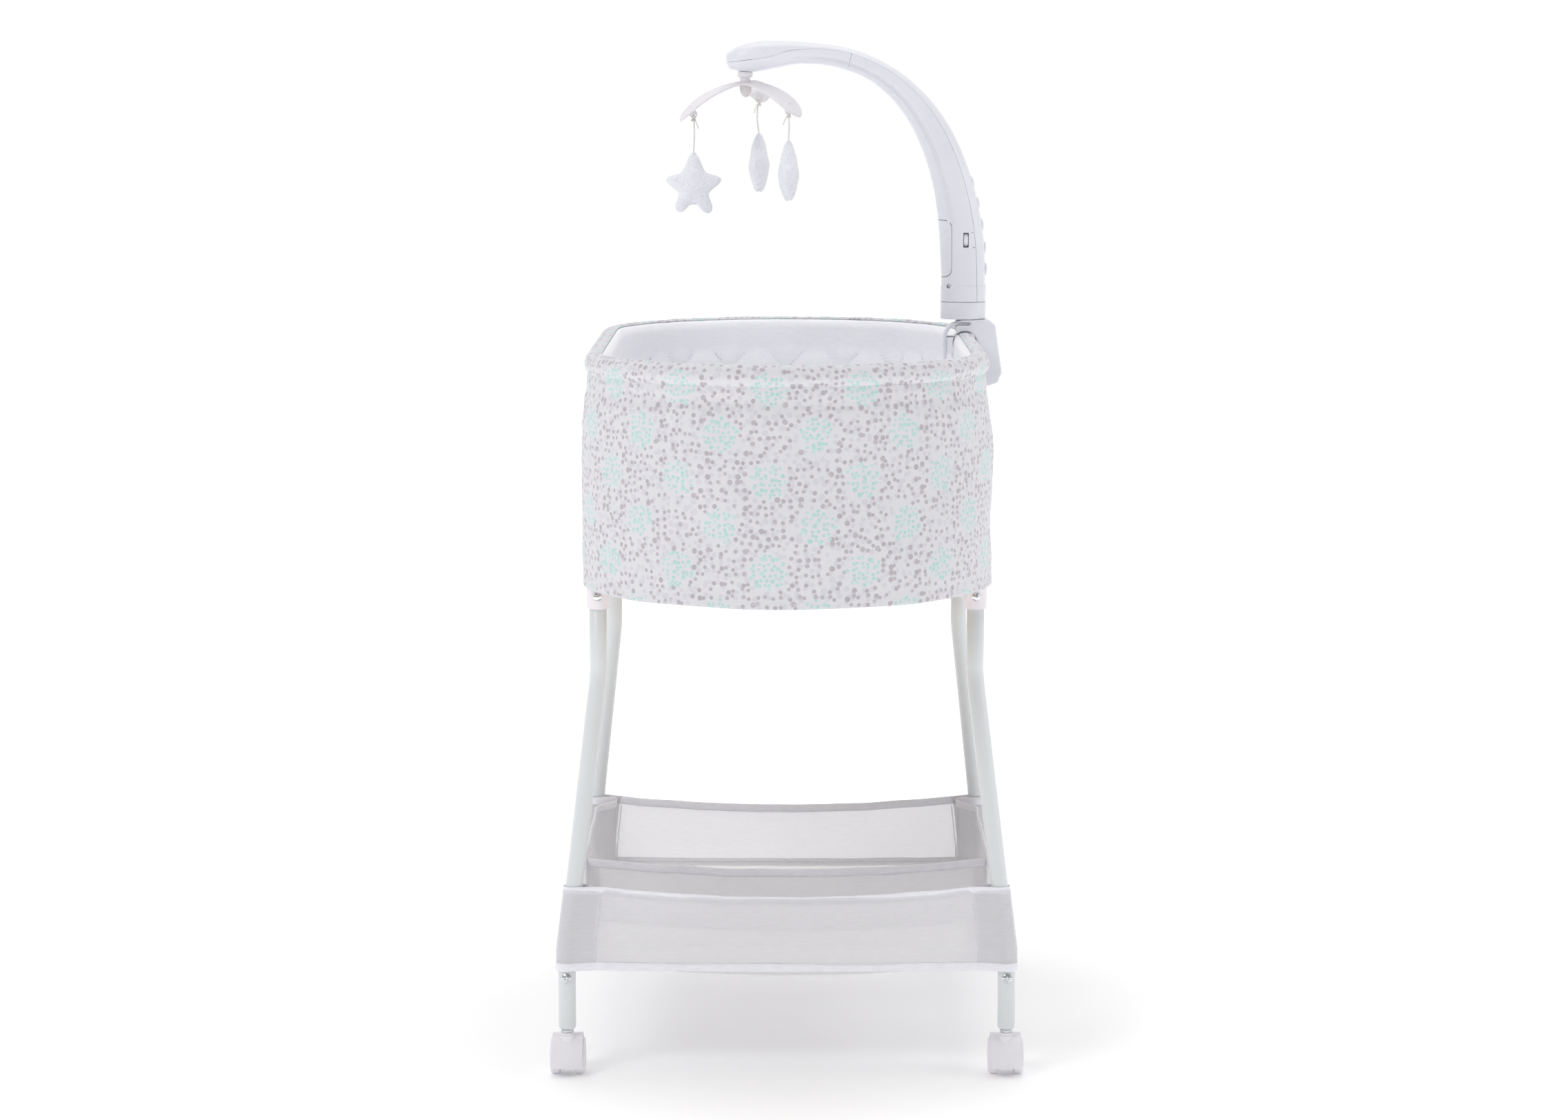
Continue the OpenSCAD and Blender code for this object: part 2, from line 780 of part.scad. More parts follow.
module volume_wheel() {
    color("LightGray") volume_disc(9, 5);
}

module button(i) {
    dome_r = 15;
    color("GhostWhite") on_face(button_zs[i - 1]) intersection() {
        translate([0, 0, -4]) cylinder(r = button_r, h = 7);
        translate([0, 0, 2.4 - dome_r]) sphere(dome_r);
    }
}

// ---------- spinner and toys ----------

function tilted(p) =
    let (
        y = p[1] * cos(spinner_tilt) - p[2] * sin(spinner_tilt),
        z = p[1] * sin(spinner_tilt) + p[2] * cos(spinner_tilt),
        side = spinner_tilt / 2
    )
    [p[0] * cos(side) - z * sin(side), y, p[0] * sin(side) + z * cos(side)];

function hook(i) =
    let (
        az = blade_az[i - 1],
        drop = plate_r - sqrt(pow(plate_r, 2) - pow(hook_r, 2)) + plate_t + 6
    )
    [hub_x, arm_y, hub_z] + tilted([hook_r * cos(az), hook_r * sin(az), -drop]);

// Three leaf blades cut from a shallow dome, on a neck, with a domed nut and three hooks
module spinner() {
    leaf_half = blade_r / 2;
    leaf_w = 12.5;
    leaf_r = (leaf_half * leaf_half + leaf_w * leaf_w) / (2 * leaf_w);
    color("White") translate([hub_x, arm_y, hub_z]) {
        rotate([0, -spinner_tilt / 2, 0]) rotate([spinner_tilt, 0, 0]) {
            intersection() {
                translate([0, 0, -plate_r]) difference() {
                    sphere(plate_r);
                    sphere(plate_r - plate_t);
                }
                translate([0, 0, -60]) linear_extrude(80) {
                    circle(11);
                    for (az = blade_az) rotate([0, 0, az]) translate([leaf_half, 0]) intersection() {
                        translate([0, leaf_r - leaf_w]) circle(leaf_r);
                        translate([0, leaf_w - leaf_r]) circle(leaf_r);
                    }
                }
            }
            translate([0, 0, -12]) cylinder(r = 6.4, h = 10);
            translate([0, 0, -12]) sphere(6.4);
        }
        translate([0, 0, -2]) cylinder(r = 5.8, h = 7);
        translate([0, 0, 4.6]) cylinder(r = 8.8, h = 4.2);
        translate([0, 0, 5]) cylinder(r = 2, h = 16);
    }
    color("White") for (i = [1:3]) translate(hook(i)) {
        cylinder(r = 2.2, h = 7);
        sphere(2.8);
    }
}

// A short cord from its hook down to the toy, with a ring of points at each height
module string(i) {
    sides = 8;
    steps = 12;
    top = hook(i) - [0, 0, 2.83];
    run = star_tops[i - 1] - top[2];
    ring_at = [for (k = [0:steps]) let (s = k / steps, w = sin(180 * s)) [
        top[0] + string_sways[i - 1][0] * w,
        top[1] + string_sways[i - 1][1] * w,
        top[2] + run * s
    ]];
    color("Gainsboro") polyhedron(
        [for (c = ring_at, a = [0:sides - 1]) c + string_r * [cos(a * 45), sin(a * 45), 0]],
        concat(
            [[for (a = [0:sides - 1]) a]],
            [for (k = [0:steps - 1], a = [0:sides - 1]) let (b = (a + 1) % sides, low = k * sides)
                [low + b, low + a, low + sides + a, low + sides + b]],
            [[for (a = [sides - 1:-1:0]) steps * sides + a]]
        )
    );
}

// A stuffed five-pointed star that hangs by its top point
module star(i) {
    c = hook(i);
    color("White") translate([c[0], c[1], star_tops[i - 1] - star_r - star_lobe])
        rotate([0, 0, star_turns[i - 1]]) along(star_t)
            polygon([for (a = [0:6:354]) (star_r + star_lobe * cos(5 * a)) * [sin(a), cos(a)]]);
}

// ---------- output ----------

top_rail();
base_rail();
cross_rails();
corner_posts();
base_board();
mattress_pad();
liner();
outer_skirt();
rim_padding();
bracket(-1, -1);  // bracket_fl
bracket(1, -1);  // bracket_fr
bracket(-1, 1);  // bracket_rl
bracket(1, 1);  // bracket_rr
bracket_bolts();
upper_leg(-1, -1);  // upper_leg_fl
upper_leg(1, -1);  // upper_leg_fr
upper_leg(-1, 1);  // upper_leg_rl
upper_leg(1, 1);  // upper_leg_rr
lower_legs();
leg_screws();
caster_stems();
caster_hood(-1, -1, false);  // caster_hood_fl
caster_hood(1, -1, false);  // caster_hood_fr
caster_hood(-1, 1, true);  // caster_hood_rl
caster_hood(1, 1, true);  // caster_hood_rr
caster_wheels(-1, -1);  // caster_wheels_fl
caster_wheels(1, -1);  // caster_wheels_fr
caster_wheels(-1, 1);  // caster_wheels_rl
caster_wheels(1, 1);  // caster_wheels_rr
brake_lever(-1, 1);  // brake_lever_rl
brake_lever(1, 1);  // brake_lever_rr
storage_panel(-1);  // storage_front_panel
storage_panel(1);  // storage_rear_panel
storage_bin();
storage_divider();
clamp_housing();
clamp_hook();
clamp_pad();
arm_collar();
arm_outer_shell();
arm_inner_shell();
head_cover();
battery_door();
battery_cells();
circuit_board();
motor_unit();
volume_wheel();
button(1);  // button_1
button(2);  // button_2
button(3);  // button_3
button(4);  // button_4
button(5);  // button_5
spinner();
string(1);  // string_1
string(2);  // string_2
string(3);  // string_3
star(1);  // star_1
star(2);  // star_2
star(3);  // star_3
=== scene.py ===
import bmesh
import bpy
import numpy as np
from math import asin, atan2, cos, exp, hypot, pi, radians, sin, tan
from mathutils import Matrix, Vector, noise
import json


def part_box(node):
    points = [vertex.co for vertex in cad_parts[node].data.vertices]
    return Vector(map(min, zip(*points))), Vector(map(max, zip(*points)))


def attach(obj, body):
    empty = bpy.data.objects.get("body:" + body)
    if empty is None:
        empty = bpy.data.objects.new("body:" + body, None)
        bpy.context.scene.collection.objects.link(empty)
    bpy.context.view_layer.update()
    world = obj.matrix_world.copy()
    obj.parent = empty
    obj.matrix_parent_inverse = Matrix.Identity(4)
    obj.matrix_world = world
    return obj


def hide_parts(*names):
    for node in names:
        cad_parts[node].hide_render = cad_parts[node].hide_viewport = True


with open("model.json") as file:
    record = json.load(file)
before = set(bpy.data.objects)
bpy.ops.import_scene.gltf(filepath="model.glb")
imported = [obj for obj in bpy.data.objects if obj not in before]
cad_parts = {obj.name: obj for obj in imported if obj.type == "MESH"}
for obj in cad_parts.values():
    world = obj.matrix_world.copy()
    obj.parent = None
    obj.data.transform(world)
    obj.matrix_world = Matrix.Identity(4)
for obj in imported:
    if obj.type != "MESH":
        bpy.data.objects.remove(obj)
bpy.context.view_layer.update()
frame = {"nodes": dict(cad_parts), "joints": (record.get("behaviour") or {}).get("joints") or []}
scene = bpy.context.scene
scene.view_settings.view_transform = "Standard"

# ---------- sizes, worked out from the frame ----------

rim_low, rim_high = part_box("rim_padding")
mat_low, mat_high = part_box("mattress_pad")
rail_low, rail_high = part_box("top_rail")
PAD_R = (rim_high.z - rim_low.z) / 2
RAIL_Z = (rail_low.z + rail_high.z) / 2
RAIL_R = (rail_high.z - rail_low.z) / 2
RAIL_HW = rail_high.x - RAIL_R
STRAIGHT = rail_high.y - RAIL_R - RAIL_HW
ARC = pi * RAIL_HW
PERIMETER = 2 * ARC + 4 * STRAIGHT

# ---------- camera ----------

camera = bpy.data.objects.new("camera", bpy.data.cameras.new("camera"))
scene.collection.objects.link(camera)
scene.camera = camera
camera.location = (-0.003, -4.319, 1.089)
camera.rotation_euler = (radians(90 - 7.36), 0, 0)
camera.data.sensor_width = 36
camera.data.lens = 87.3
camera.data.clip_start = 0.5

# ---------- mesh helpers ----------


def smoothstep(a, b, x):
    t = min(1.0, max(0.0, (x - a) / (b - a)))
    return t * t * (3 - 2 * t)


def lookup(x, table):
    """Straight-line reading of a table of (x, value) pairs."""
    return float(np.interp(x, [p[0] for p in table], [p[1] for p in table]))


def bumps(x, y, scale, seed=0.0):
    """Smooth noise, about -1 to 1, over a plane."""
    return noise.noise(Vector((x / scale, y / scale, seed)))


def shown(name, mesh):
    """A mesh as a smooth-shaded object in the scene."""
    mesh.polygons.foreach_set("use_smooth", [True] * len(mesh.polygons))
    obj = bpy.data.objects.new(name, mesh)
    scene.collection.objects.link(obj)
    return obj


def link(name, verts, faces, uvs=None):
    """An object from its points and faces; uvs holds one (u, v) in metres for each corner, face by face."""
    mesh = bpy.data.meshes.new(name)
    mesh.from_pydata([tuple(v) for v in verts], [], [tuple(f) for f in faces])
    if uvs is not None:
        layer = mesh.uv_layers.new(name="Cloth")
        layer.data.foreach_set("uv", np.array(uvs, float).ravel())
    return shown(name, mesh)


def grid(name, rows, close_u=False, cap=False, uv=None):
    """A quad mesh over rows of points. uv(i, j) gives a corner's place on the flat cloth."""
    nv, nu = len(rows), len(rows[0])
    verts = [p for row in rows for p in row]
    faces, uvs = [], []
    for j in range(nv - 1):
        for i in range(nu if close_u else nu - 1):
            a, b = (i + 1) % nu, j + 1
            faces.append((j * nu + i, j * nu + a, b * nu + a, b * nu + i))
            if uv:
                uvs += [uv(i, j), uv(i + 1, j), uv(i + 1, j + 1), uv(i, j + 1)]
    if cap:
        faces.append(tuple(range(nu - 1, -1, -1)))
        faces.append(tuple(range((nv - 1) * nu, nv * nu)))
    return link(name, verts, faces, uvs if uv else None)


def modifier(obj, kind, name, **values):
    made = obj.modifiers.new(name, kind)
    for key, value in values.items():
        setattr(made, key, value)
    return made


def soften(obj, width, segments=2, angle=35):
    """Rounds the sharp edges."""
    modifier(obj, "BEVEL", "edges", width=width, segments=segments, limit_method="ANGLE",
             angle_limit=radians(angle), harden_normals=False, use_clamp_overlap=True)


def subdivide(obj):
    modifier(obj, "SUBSURF", "smooth", levels=1, render_levels=1)


def thicken(obj, thickness, offset=-1.0):
    modifier(obj, "SOLIDIFY", "cloth", thickness=thickness, offset=offset)


def join(name, *objs):
    """Several meshes as one piece."""
    made = bmesh.new()
    for obj in objs:
        mesh = obj.data
        mesh.transform(obj.matrix_world)
        made.from_mesh(mesh)
        bpy.data.objects.remove(obj)
    mesh = bpy.data.meshes.new(name)
    made.to_mesh(mesh)
    made.free()
    return shown(name, mesh)


def ring_turns(sides):
    """Even angles round a full turn."""
    return [2 * pi * k / sides for k in range(sides)]


def run_lengths(points):
    """How far along the line each of its points is."""
    runs = [0.0]
    for a, b in zip(points[:-1], points[1:]):
        runs.append(runs[-1] + (b - a).length)
    return runs


def way_along(points, k):
    """The line's direction at its point k."""
    return (points[min(k + 1, len(points) - 1)] - points[max(k - 1, 0)]).normalized()


def sweep(name, path, radius, sides):
    """A round rod along a path."""
    pts = [Vector(p) for p in path]
    rows, side = [], None
    for k, p in enumerate(pts):
        ahead = way_along(pts, k)
        if side is None:
            side = ahead.orthogonal().normalized()
        side = (side - ahead * side.dot(ahead)).normalized()
        other = ahead.cross(side)
        rows.append([p + side * (radius * cos(a)) + other * (radius * sin(a)) for a in ring_turns(sides)])
    return grid(name, rows, close_u=True, cap=True)


def lathe(name, profile, sides=48):
    """Turns an (r, z) profile round Z."""
    rows = [[(r * cos(a), r * sin(a), z) for a in ring_turns(sides)] for r, z in profile]
    return grid(name, rows, close_u=True, cap=True)


def toothed_rows(profile, teeth):
    """Rows round Z of a toothed ring: profile lists (z, radius, what a tooth adds to the radius)."""
    rows = []
    for z, r, tooth in profile:
        reaches = [(r + (tooth if k % 4 < 2 else 0), a) for k, a in enumerate(ring_turns(4 * teeth))]
        rows.append([Vector((reach * cos(a), reach * sin(a), z)) for reach, a in reaches])
    return rows


def place(obj, at, axis=None):
    """Moves a mesh's own points: its +Z goes to axis and its origin to at."""
    turn = Vector(axis).to_track_quat("Z", "Y").to_matrix().to_4x4() if axis else Matrix.Identity(4)
    obj.data.transform(Matrix.Translation(Vector(at)) @ turn)
    return obj


def finished(obj, material, body, replaces=()):
    """Gives a piece its material and body, and hides the CAD nodes that it stands for."""
    obj.data.materials.clear()
    obj.data.materials.append(material)
    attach(obj, body)
    if replaces:
        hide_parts(*replaces)
    return obj


def applied(obj):
    """Applies every modifier."""
    graph = bpy.context.evaluated_depsgraph_get()
    mesh = bpy.data.meshes.new_from_object(obj.evaluated_get(graph))
    obj.modifiers.clear()
    mesh.polygons.foreach_set("use_smooth", [True] * len(mesh.polygons))
    obj.data = mesh
    return obj


SWELL_FRAMES, SWELL_PRESSURE, CLOTH_MASS = 20, 4.0, 0.15


def swell(obj, voxel, cap, held):
    """Puffs a stuffed piece by a cloth simulation. held(point) is 1 where the cloth is kept in place."""
    modifier(obj, "REMESH", "even", mode="VOXEL", voxel_size=voxel)
    applied(obj)
    starts = [v.co.copy() for v in obj.data.vertices]
    pins = obj.vertex_groups.new(name="held")
    for i, start in enumerate(starts):
        pins.add([i], held(start), "REPLACE")
    cloth = modifier(obj, "CLOTH", "swelling")
    settings = cloth.settings
    settings.quality, settings.mass, settings.vertex_group_mass = 5, CLOTH_MASS, "held"
    settings.use_pressure, settings.uniform_pressure_force = True, SWELL_PRESSURE
    settings.effector_weights.gravity = 0
    cloth.collision_settings.use_collision = False
    cloth.point_cache.frame_end = SWELL_FRAMES
    for frame_number in range(1, SWELL_FRAMES + 1):
        scene.frame_set(frame_number)
    applied(obj)
    obj.vertex_groups.clear()
    for vertex, start in zip(obj.data.vertices, starts):
        move = (vertex.co - start) * (1 - held(start))
        vertex.co = start + move * min(1, cap / max(move.length, 1e-9))
    scene.frame_set(1)


# ---------- material helpers ----------


class Nodes:
    """Short names for building a material's node tree."""

    def __init__(self, name, colour, roughness, **inputs):
        self.material = bpy.data.materials.new(name)
        self.material.use_nodes = True
        self.tree = self.material.node_tree
        self.shader = self.tree.nodes["Principled BSDF"]
        self.set("Base Color", (*colour, 1))
        self.set("Roughness", roughness)
        for key, value in inputs.items():
            self.set(key.replace("_", " "), value)

    def set(self, socket, value):
        """Sets a socket of the shader to a value, or links it to another socket."""
        target = self.shader.inputs[socket]
        if isinstance(value, bpy.types.NodeSocket):
            self.tree.links.new(value, target)
        else:
            target.default_value = value

    def add(self, kind, inputs=None, out=0, **settings):
        node = self.tree.nodes.new("ShaderNode" + kind)
        for key, value in settings.items():
            setattr(node, key, value)
        for key, value in (inputs or {}).items():
            if isinstance(value, bpy.types.NodeSocket):
                self.tree.links.new(value, node.inputs[key])
            else:
                node.inputs[key].default_value = value
        return node.outputs[out]

    def math(self, operation, a, b=0.0, c=0.0):
        return self.add("Math", {0: a, 1: b, 2: c}, operation=operation)

    def place(self):
        """The point's own place, in metres."""
        return self.add("TexCoord", out="Object")

    def cloth(self):
        """The point's place on the flat cloth, in metres."""
        return self.add("UVMap", uv_map="Cloth")

    def noise(self, scale, detail=2.0, at=None, rough=0.5):
        settings = {"Vector": at or self.place(), "Scale": scale, "Detail": detail, "Roughness": rough}
        return self.add("TexNoise", settings)

    def spread(self, value, low, high, to_low=0.0, to_high=1.0):
        return self.add("MapRange", {0: value, 1: low, 2: high, 3: to_low, 4: to_high},
                        interpolation_type="SMOOTHSTEP")

    def mix(self, share, a, b):
        colour = [(*c, 1) if isinstance(c, tuple) and len(c) == 3 else c for c in (a, b)]
        return self.add("Mix", {0: share, 6: colour[0], 7: colour[1]}, out=2, data_type="RGBA")

    def weave(self, pitch, at=None):
        """Over-and-under threads, 0 to 1."""
        x, y = (self.add("SeparateXYZ", {0: at or self.cloth()}, out=k) for k in (0, 1))
        wave = [self.math("SINE", self.math("MULTIPLY", v, 2 * pi / pitch)) for v in (x, y)]
        return self.math("MULTIPLY_ADD", self.math("MULTIPLY", *wave), 0.5, 0.5)

    def bump(self, *layers):
        """Layers of (height, depth in metres)."""
        total = None
        for height, depth in layers:
            total = self.math("MULTIPLY_ADD", height, depth, total if total is not None else 0.0)
        self.set("Normal", self.add("Bump", {"Height": total, "Distance": 1.0, "Strength": 1.0}))
        return self.material


def plastic(name, colour, roughness, grain=0.00002, coat=0.0):
    """Moulded plastic: a fine grain, faint flow marks and patchy gloss."""
    n = Nodes(name, colour, roughness, IOR=1.49, Coat_Weight=coat, Coat_Roughness=0.25)
    patches = n.noise(14.0, 3.0)
    dull = tuple(c * 0.965 for c in colour)
    n.set("Base Color", n.mix(n.spread(patches, 0.35, 0.65), dull, colour))
    n.set("Roughness", n.spread(n.noise(40.0, 4.0), 0.3, 0.7, roughness - 0.06, roughness + 0.08))
    return n.bump((n.noise(1800.0, 2.0), grain), (n.noise(120.0, 2.0), grain * 2))


def painted(name, colour, roughness):
    """Powder-coated steel: orange peel and a little dust."""
    n = Nodes(name, colour, roughness, Coat_Weight=0.25, Coat_Roughness=0.2)
    n.set("Base Color", n.mix(n.spread(n.noise(9.0, 4.0), 0.4, 0.7), colour, tuple(c * 0.97 for c in colour)))
    n.set("Roughness", n.spread(n.noise(60.0, 3.0), 0.3, 0.7, roughness - 0.05, roughness + 0.07))
    return n.bump((n.noise(420.0, 2.0), 0.00008), (n.noise(2600.0, 1.0), 0.00001))


def metal(name, colour, roughness):
    """Plated or plain steel, with fine scratches along Z."""
    n = Nodes(name, colour, roughness, Metallic=1.0)
    streaks = n.add("Mapping", {0: n.place(), 3: (1, 1, 0.06)})
    dark = tuple(c * 0.8 for c in colour)
    n.set("Base Color", n.mix(n.spread(n.noise(300.0, 3.0), 0.4, 0.65), colour, dark))
    gloss = n.noise(900.0, 3.0, streaks)
    n.set("Roughness", n.spread(gloss, 0.3, 0.7, roughness * 0.7, roughness * 1.4 + 0.03))
    return n.bump((n.noise(2200.0, 2.0, streaks), 0.00001))


def printed_cloth():
    """White cotton with scattered grey dots and round clusters of mint blobs, each kept or left out whole."""
    pitch_u, pitch_v, phase_u, phase_v, radius = 0.098, 0.095, -0.019, 0.666, 0.0190
    ground = (0.67, 0.665, 0.695)
    n = Nodes("printed_cotton", ground, 0.85, Sheen_Weight=0.15, Sheen_Roughness=0.5)

    def far(at):
        """The distance from a place to the nearest cluster's middle."""
        u, v = (n.add("SeparateXYZ", {0: at}, out=k) for k in (0, 1))
        spans = []
        for shift in (0, 0.5):
            x, y = (n.math("WRAP", n.math("SUBTRACT", value, phase + shift * pitch), pitch / 2, -pitch / 2)
                    for value, pitch, phase in ((u, pitch_u, phase_u), (v, pitch_v, phase_v)))
            spans.append(n.math("SQRT", n.math("ADD", n.math("MULTIPLY", x, x), n.math("MULTIPLY", y, y))))
        return n.math("MINIMUM", *spans)

    def dots(scale, size, wander, move=0.0):
        """Blobs on a jittered grid: where they cover, a chance for each, and how far it is from a cluster."""
        at = n.add("Mapping", {0: n.cloth(), 1: (move, move, 0)})
        cells = n.add("TexVoronoi", {"Vector": at, "Scale": scale, "Randomness": wander},
                      voronoi_dimensions="2D")
        outputs = cells.node.outputs
        size_chance, chance = (n.add("SeparateColor", {0: outputs["Color"]}, out=k) for k in (0, 1))
        edge = n.math("MULTIPLY_ADD", n.math("POWER", size_chance, 3.0), size * 0.5, size * 0.85)
        middle = n.add("Mapping", {0: outputs["Position"], 1: (-move, -move, 0)})
        return n.spread(n.math("SUBTRACT", cells, edge), -0.03, 0.03, 1.0, 0.0), chance, far(middle)

    blobs, lot, span = dots(190.0, 0.36, 0.8, 0.013)
    ragged = n.math("MULTIPLY_ADD", lot, 0.0026, radius - 0.002)
    mint = n.math("MULTIPLY", blobs, n.math("LESS_THAN", span, ragged))
    grey, chance, span = dots(126.0, 0.29, 0.82)
    grey = n.math("MULTIPLY", grey, n.math("GREATER_THAN", span, radius + 0.001))
    pale, _, span = dots(118.0, 0.32, 0.9, 0.037)
    pale = n.math("MULTIPLY", pale, n.math("GREATER_THAN", span, radius + 0.001))
    shade = n.mix(chance, (0.42, 0.385, 0.42), (0.50, 0.465, 0.50))
    colour = n.mix(n.math("MULTIPLY", pale, 0.8), ground, (0.60, 0.59, 0.63))
    colour = n.mix(n.math("MULTIPLY", grey, n.math("GREATER_THAN", chance, 0.22)), colour, shade)
    colour = n.mix(mint, colour, n.mix(lot, (0.42, 0.62, 0.59), (0.50, 0.67, 0.65)))
    n.set("Base Color", colour)
    n.set("Roughness", n.spread(n.noise(60.0, 3.0, n.cloth()), 0.3, 0.7, 0.78, 0.92))
    return n.bump((n.weave(0.0007), 0.00004), (n.noise(220.0, 3.0, n.cloth()), 0.0004),
                  (n.noise(38.0, 3.0, n.cloth()), 0.0016))


def woven(name, colour, shade, pitch, roughness=0.85, crush=0.0002, sheen=0.25, coat=0.0, flat=True):
    """Woven or twisted threads, with slubs and soft creases. If it isn't flat, it is patterned by place."""
    n = Nodes(name, colour, roughness, Sheen_Weight=sheen, Sheen_Roughness=0.4, Coat_Weight=coat,
              Coat_Roughness=0.35)
    at = n.cloth() if flat else n.add("Mapping", {0: n.place(), 2: (pi / 2, 0, 0)})
    slub = n.noise(500.0, 2.0, n.add("Mapping", {0: at, 3: (0.15, 1, 1)}))
    tone = n.math("MULTIPLY", n.spread(slub, 0.35, 0.7), 0.6)
    tone = n.math("ADD", tone, n.math("MULTIPLY", n.weave(pitch, at), 0.3))
    n.set("Base Color", n.mix(tone, colour, shade))
    n.set("Roughness", n.spread(n.noise(50.0, 3.0, at), 0.3, 0.7, roughness - 0.08, roughness + 0.06))
    return n.bump((n.weave(pitch, at), 0.00005), (slub, 0.00005), (n.noise(70.0, 4.0, at), crush))


def plush(name, colour, shade):
    """Short plush pile with clumps, and painted shade in the hollows between them."""
    n = Nodes(name, colour, 0.95, Sheen_Weight=0.6, Sheen_Roughness=0.35)
    clumps = n.noise(420.0, 5.0, rough=0.7)
    # Where the clumps are low in the bump, the pile takes the darker shade colour: painted shade in the
    # hollows
    n.set("Base Color", n.mix(n.spread(clumps, 0.35, 0.65), shade, colour))
    n.set("Roughness", n.spread(n.noise(90.0, 2.0), 0.3, 0.7, 0.88, 1.0))
    return n.bump((clumps, 0.0009), (n.noise(1500.0, 3.0), 0.0004))


def laminate():
    """Circuit board with its copper tracks under green lacquer."""
    n = Nodes("circuit_laminate", (0.05, 0.22, 0.12), 0.4)
    tracks = n.add("TexBrick", {"Scale": 260.0, "Mortar Size": 0.03})
    n.set("Base Color", n.mix(tracks.node.outputs["Fac"], (0.05, 0.22, 0.12), (0.10, 0.36, 0.20)))
    return n.bump((n.noise(900.0, 2.0), 0.00003))


def board_wood():
    """Thin plywood with a long grain."""
    n = Nodes("board_wood", (0.60, 0.46, 0.30), 0.6)
    grain = n.noise(22.0, 6.0, n.add("Mapping", {0: n.place(), 3: (9, 1, 1)}))
    n.set("Base Color", n.mix(n.spread(grain, 0.3, 0.7), (0.66, 0.52, 0.35), (0.47, 0.34, 0.21)))
    return n.bump((grain, 0.0002))


COTTON = printed_cloth()
SATIN = woven("liner_satin", (0.95, 0.95, 0.98), (0.89, 0.89, 0.93), 0.0006, 0.42, 0.0004, 0.35, 0.3)
SHEET_CLOTH = woven("mattress_cloth", (0.88, 0.88, 0.90), (0.80, 0.80, 0.83), 0.0009, flat=False)
SHEER = woven("bin_cloth", (0.86, 0.855, 0.88), (0.80, 0.795, 0.83), 0.0008, 0.8, 0.0005)
SHEER.node_tree.nodes["Principled BSDF"].inputs["Alpha"].default_value = 0.5
TAPE = woven("binding_tape", (0.87, 0.87, 0.92), (0.78, 0.78, 0.84), 0.0012, 0.75, 0.0001)
THREAD = woven("thread", (0.88, 0.88, 0.91), (0.75, 0.75, 0.80), 0.0005, 0.7, 0.00002, flat=False)
# The quilting thread is a real thread, coloured darker than the satin's so the quilt lines read as shaded
# creases: partly painted shade
SHADED_QUILT_THREAD = woven("quilt_thread_painted_shade", (0.70, 0.70, 0.75), (0.60, 0.60, 0.66), 0.0005, 0.7, 0.00002, flat=False)
TUBE = painted("tube_paint", (0.71, 0.735, 0.745), 0.38)
RAIL = painted("rail_paint", (0.70, 0.72, 0.73), 0.45)
BRACKET = plastic("bracket_plastic", (0.83, 0.79, 0.82), 0.5)
CASTER = plastic("caster_plastic", (0.88, 0.86, 0.90), 0.45)
BRAKE = plastic("brake_plastic", (0.55, 0.55, 0.60), 0.5)
SHELL = plastic("mobile_plastic", (0.75, 0.75, 0.80), 0.32, 0.00001, 0.15)
KEY = plastic("key_plastic", (0.78, 0.78, 0.84), 0.30)
PALE = plastic("spinner_plastic", (0.76, 0.735, 0.765), 0.35)
SMOKE = plastic("nut_plastic", (0.62, 0.58, 0.58), 0.25, 0.00001, 0.4)
INK = plastic("mark_ink", (0.10, 0.10, 0.12), 0.5)
RUBBER = plastic("pad_rubber", (0.90, 0.90, 0.92), 0.8, 0.0001)
ZINC = metal("zinc_plate", (0.70, 0.72, 0.74), 0.22)
CHROME = metal("polished_steel", (0.80, 0.80, 0.82), 0.08)
MOTOR = metal("motor_steel", (0.60, 0.60, 0.62), 0.35)
CELL = metal("cell_sleeve", (0.16, 0.17, 0.19), 0.35)
# The second colour is the painted shade in the plush's hollows
PLUSH = plush("plush_pile", (0.92, 0.92, 0.97), (0.80, 0.80, 0.86))
CORD = woven("cord_braid", (0.80, 0.78, 0.74), (0.62, 0.60, 0.57), 0.0008, 0.8, 0.00005, flat=False)
LAMINATE = laminate()
WOOD = board_wood()

# ---------- hanging cords ----------

JOINTS = {j["name"]: j for j in frame["joints"]}
HOOK_DROP, CORD_R = 0.00283, 0.0009
CORD_SWAYS = (0.001, -0.002, 0.0006)
CORD_STEPS = 12


def cord_path(i):
    """The cord's own line from its hook down to the star, as its CAD node has it."""
    hook = Vector(JOINTS[f"string_swing_{i}"]["pos_m"]) - Vector((0, 0, HOOK_DROP))
    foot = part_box(f"string_{i}")[0].z
    return [hook + Vector((CORD_SWAYS[i - 1] * sin(pi * k / CORD_STEPS), 0, (foot - hook.z) * k / CORD_STEPS))
            for k in range(CORD_STEPS + 1)]


def cord_knot(i, tail_turn):
    """A half hitch under the hook, a loop up to it, and the cord's short cut tail."""
    top = cord_path(i)[0]
    knot_z = top.z - 0.0035
    wrap_r = 0.0019
    turns = [Vector((top.x + wrap_r * cos(t) * (1 - 0.25 * sin(t / 2.3)), top.y + wrap_r * sin(t),
                     knot_z + 0.0030 * sin(t / 2.3)))
             for t in np.linspace(0, 6.5 * pi, 60)]
    out = Vector((cos(tail_turn), sin(tail_turn), 0))
    tail = [Vector((top.x, top.y, knot_z - 0.001)) + out * (0.0065 * s)
            + Vector((0, 0, -0.0105 * s + 0.002 * sin(pi * s)))
            for s in np.linspace(0, 1, 9)]
    loop = [Vector((top.x + 0.0036 * sin(t), top.y + 0.0004 * sin(2 * t), top.z + 0.0012 + 0.0042 * cos(t)))
            for t in np.linspace(0, 2 * pi, 25)]
    wraps = sweep("wraps", turns, 0.0008, 8)
    end = sweep("tail", tail, 0.00075, 8)
    ring = sweep("ring", loop, 0.00075, 8)
    return join(f"cord_knot_{i}", wraps, end, ring)


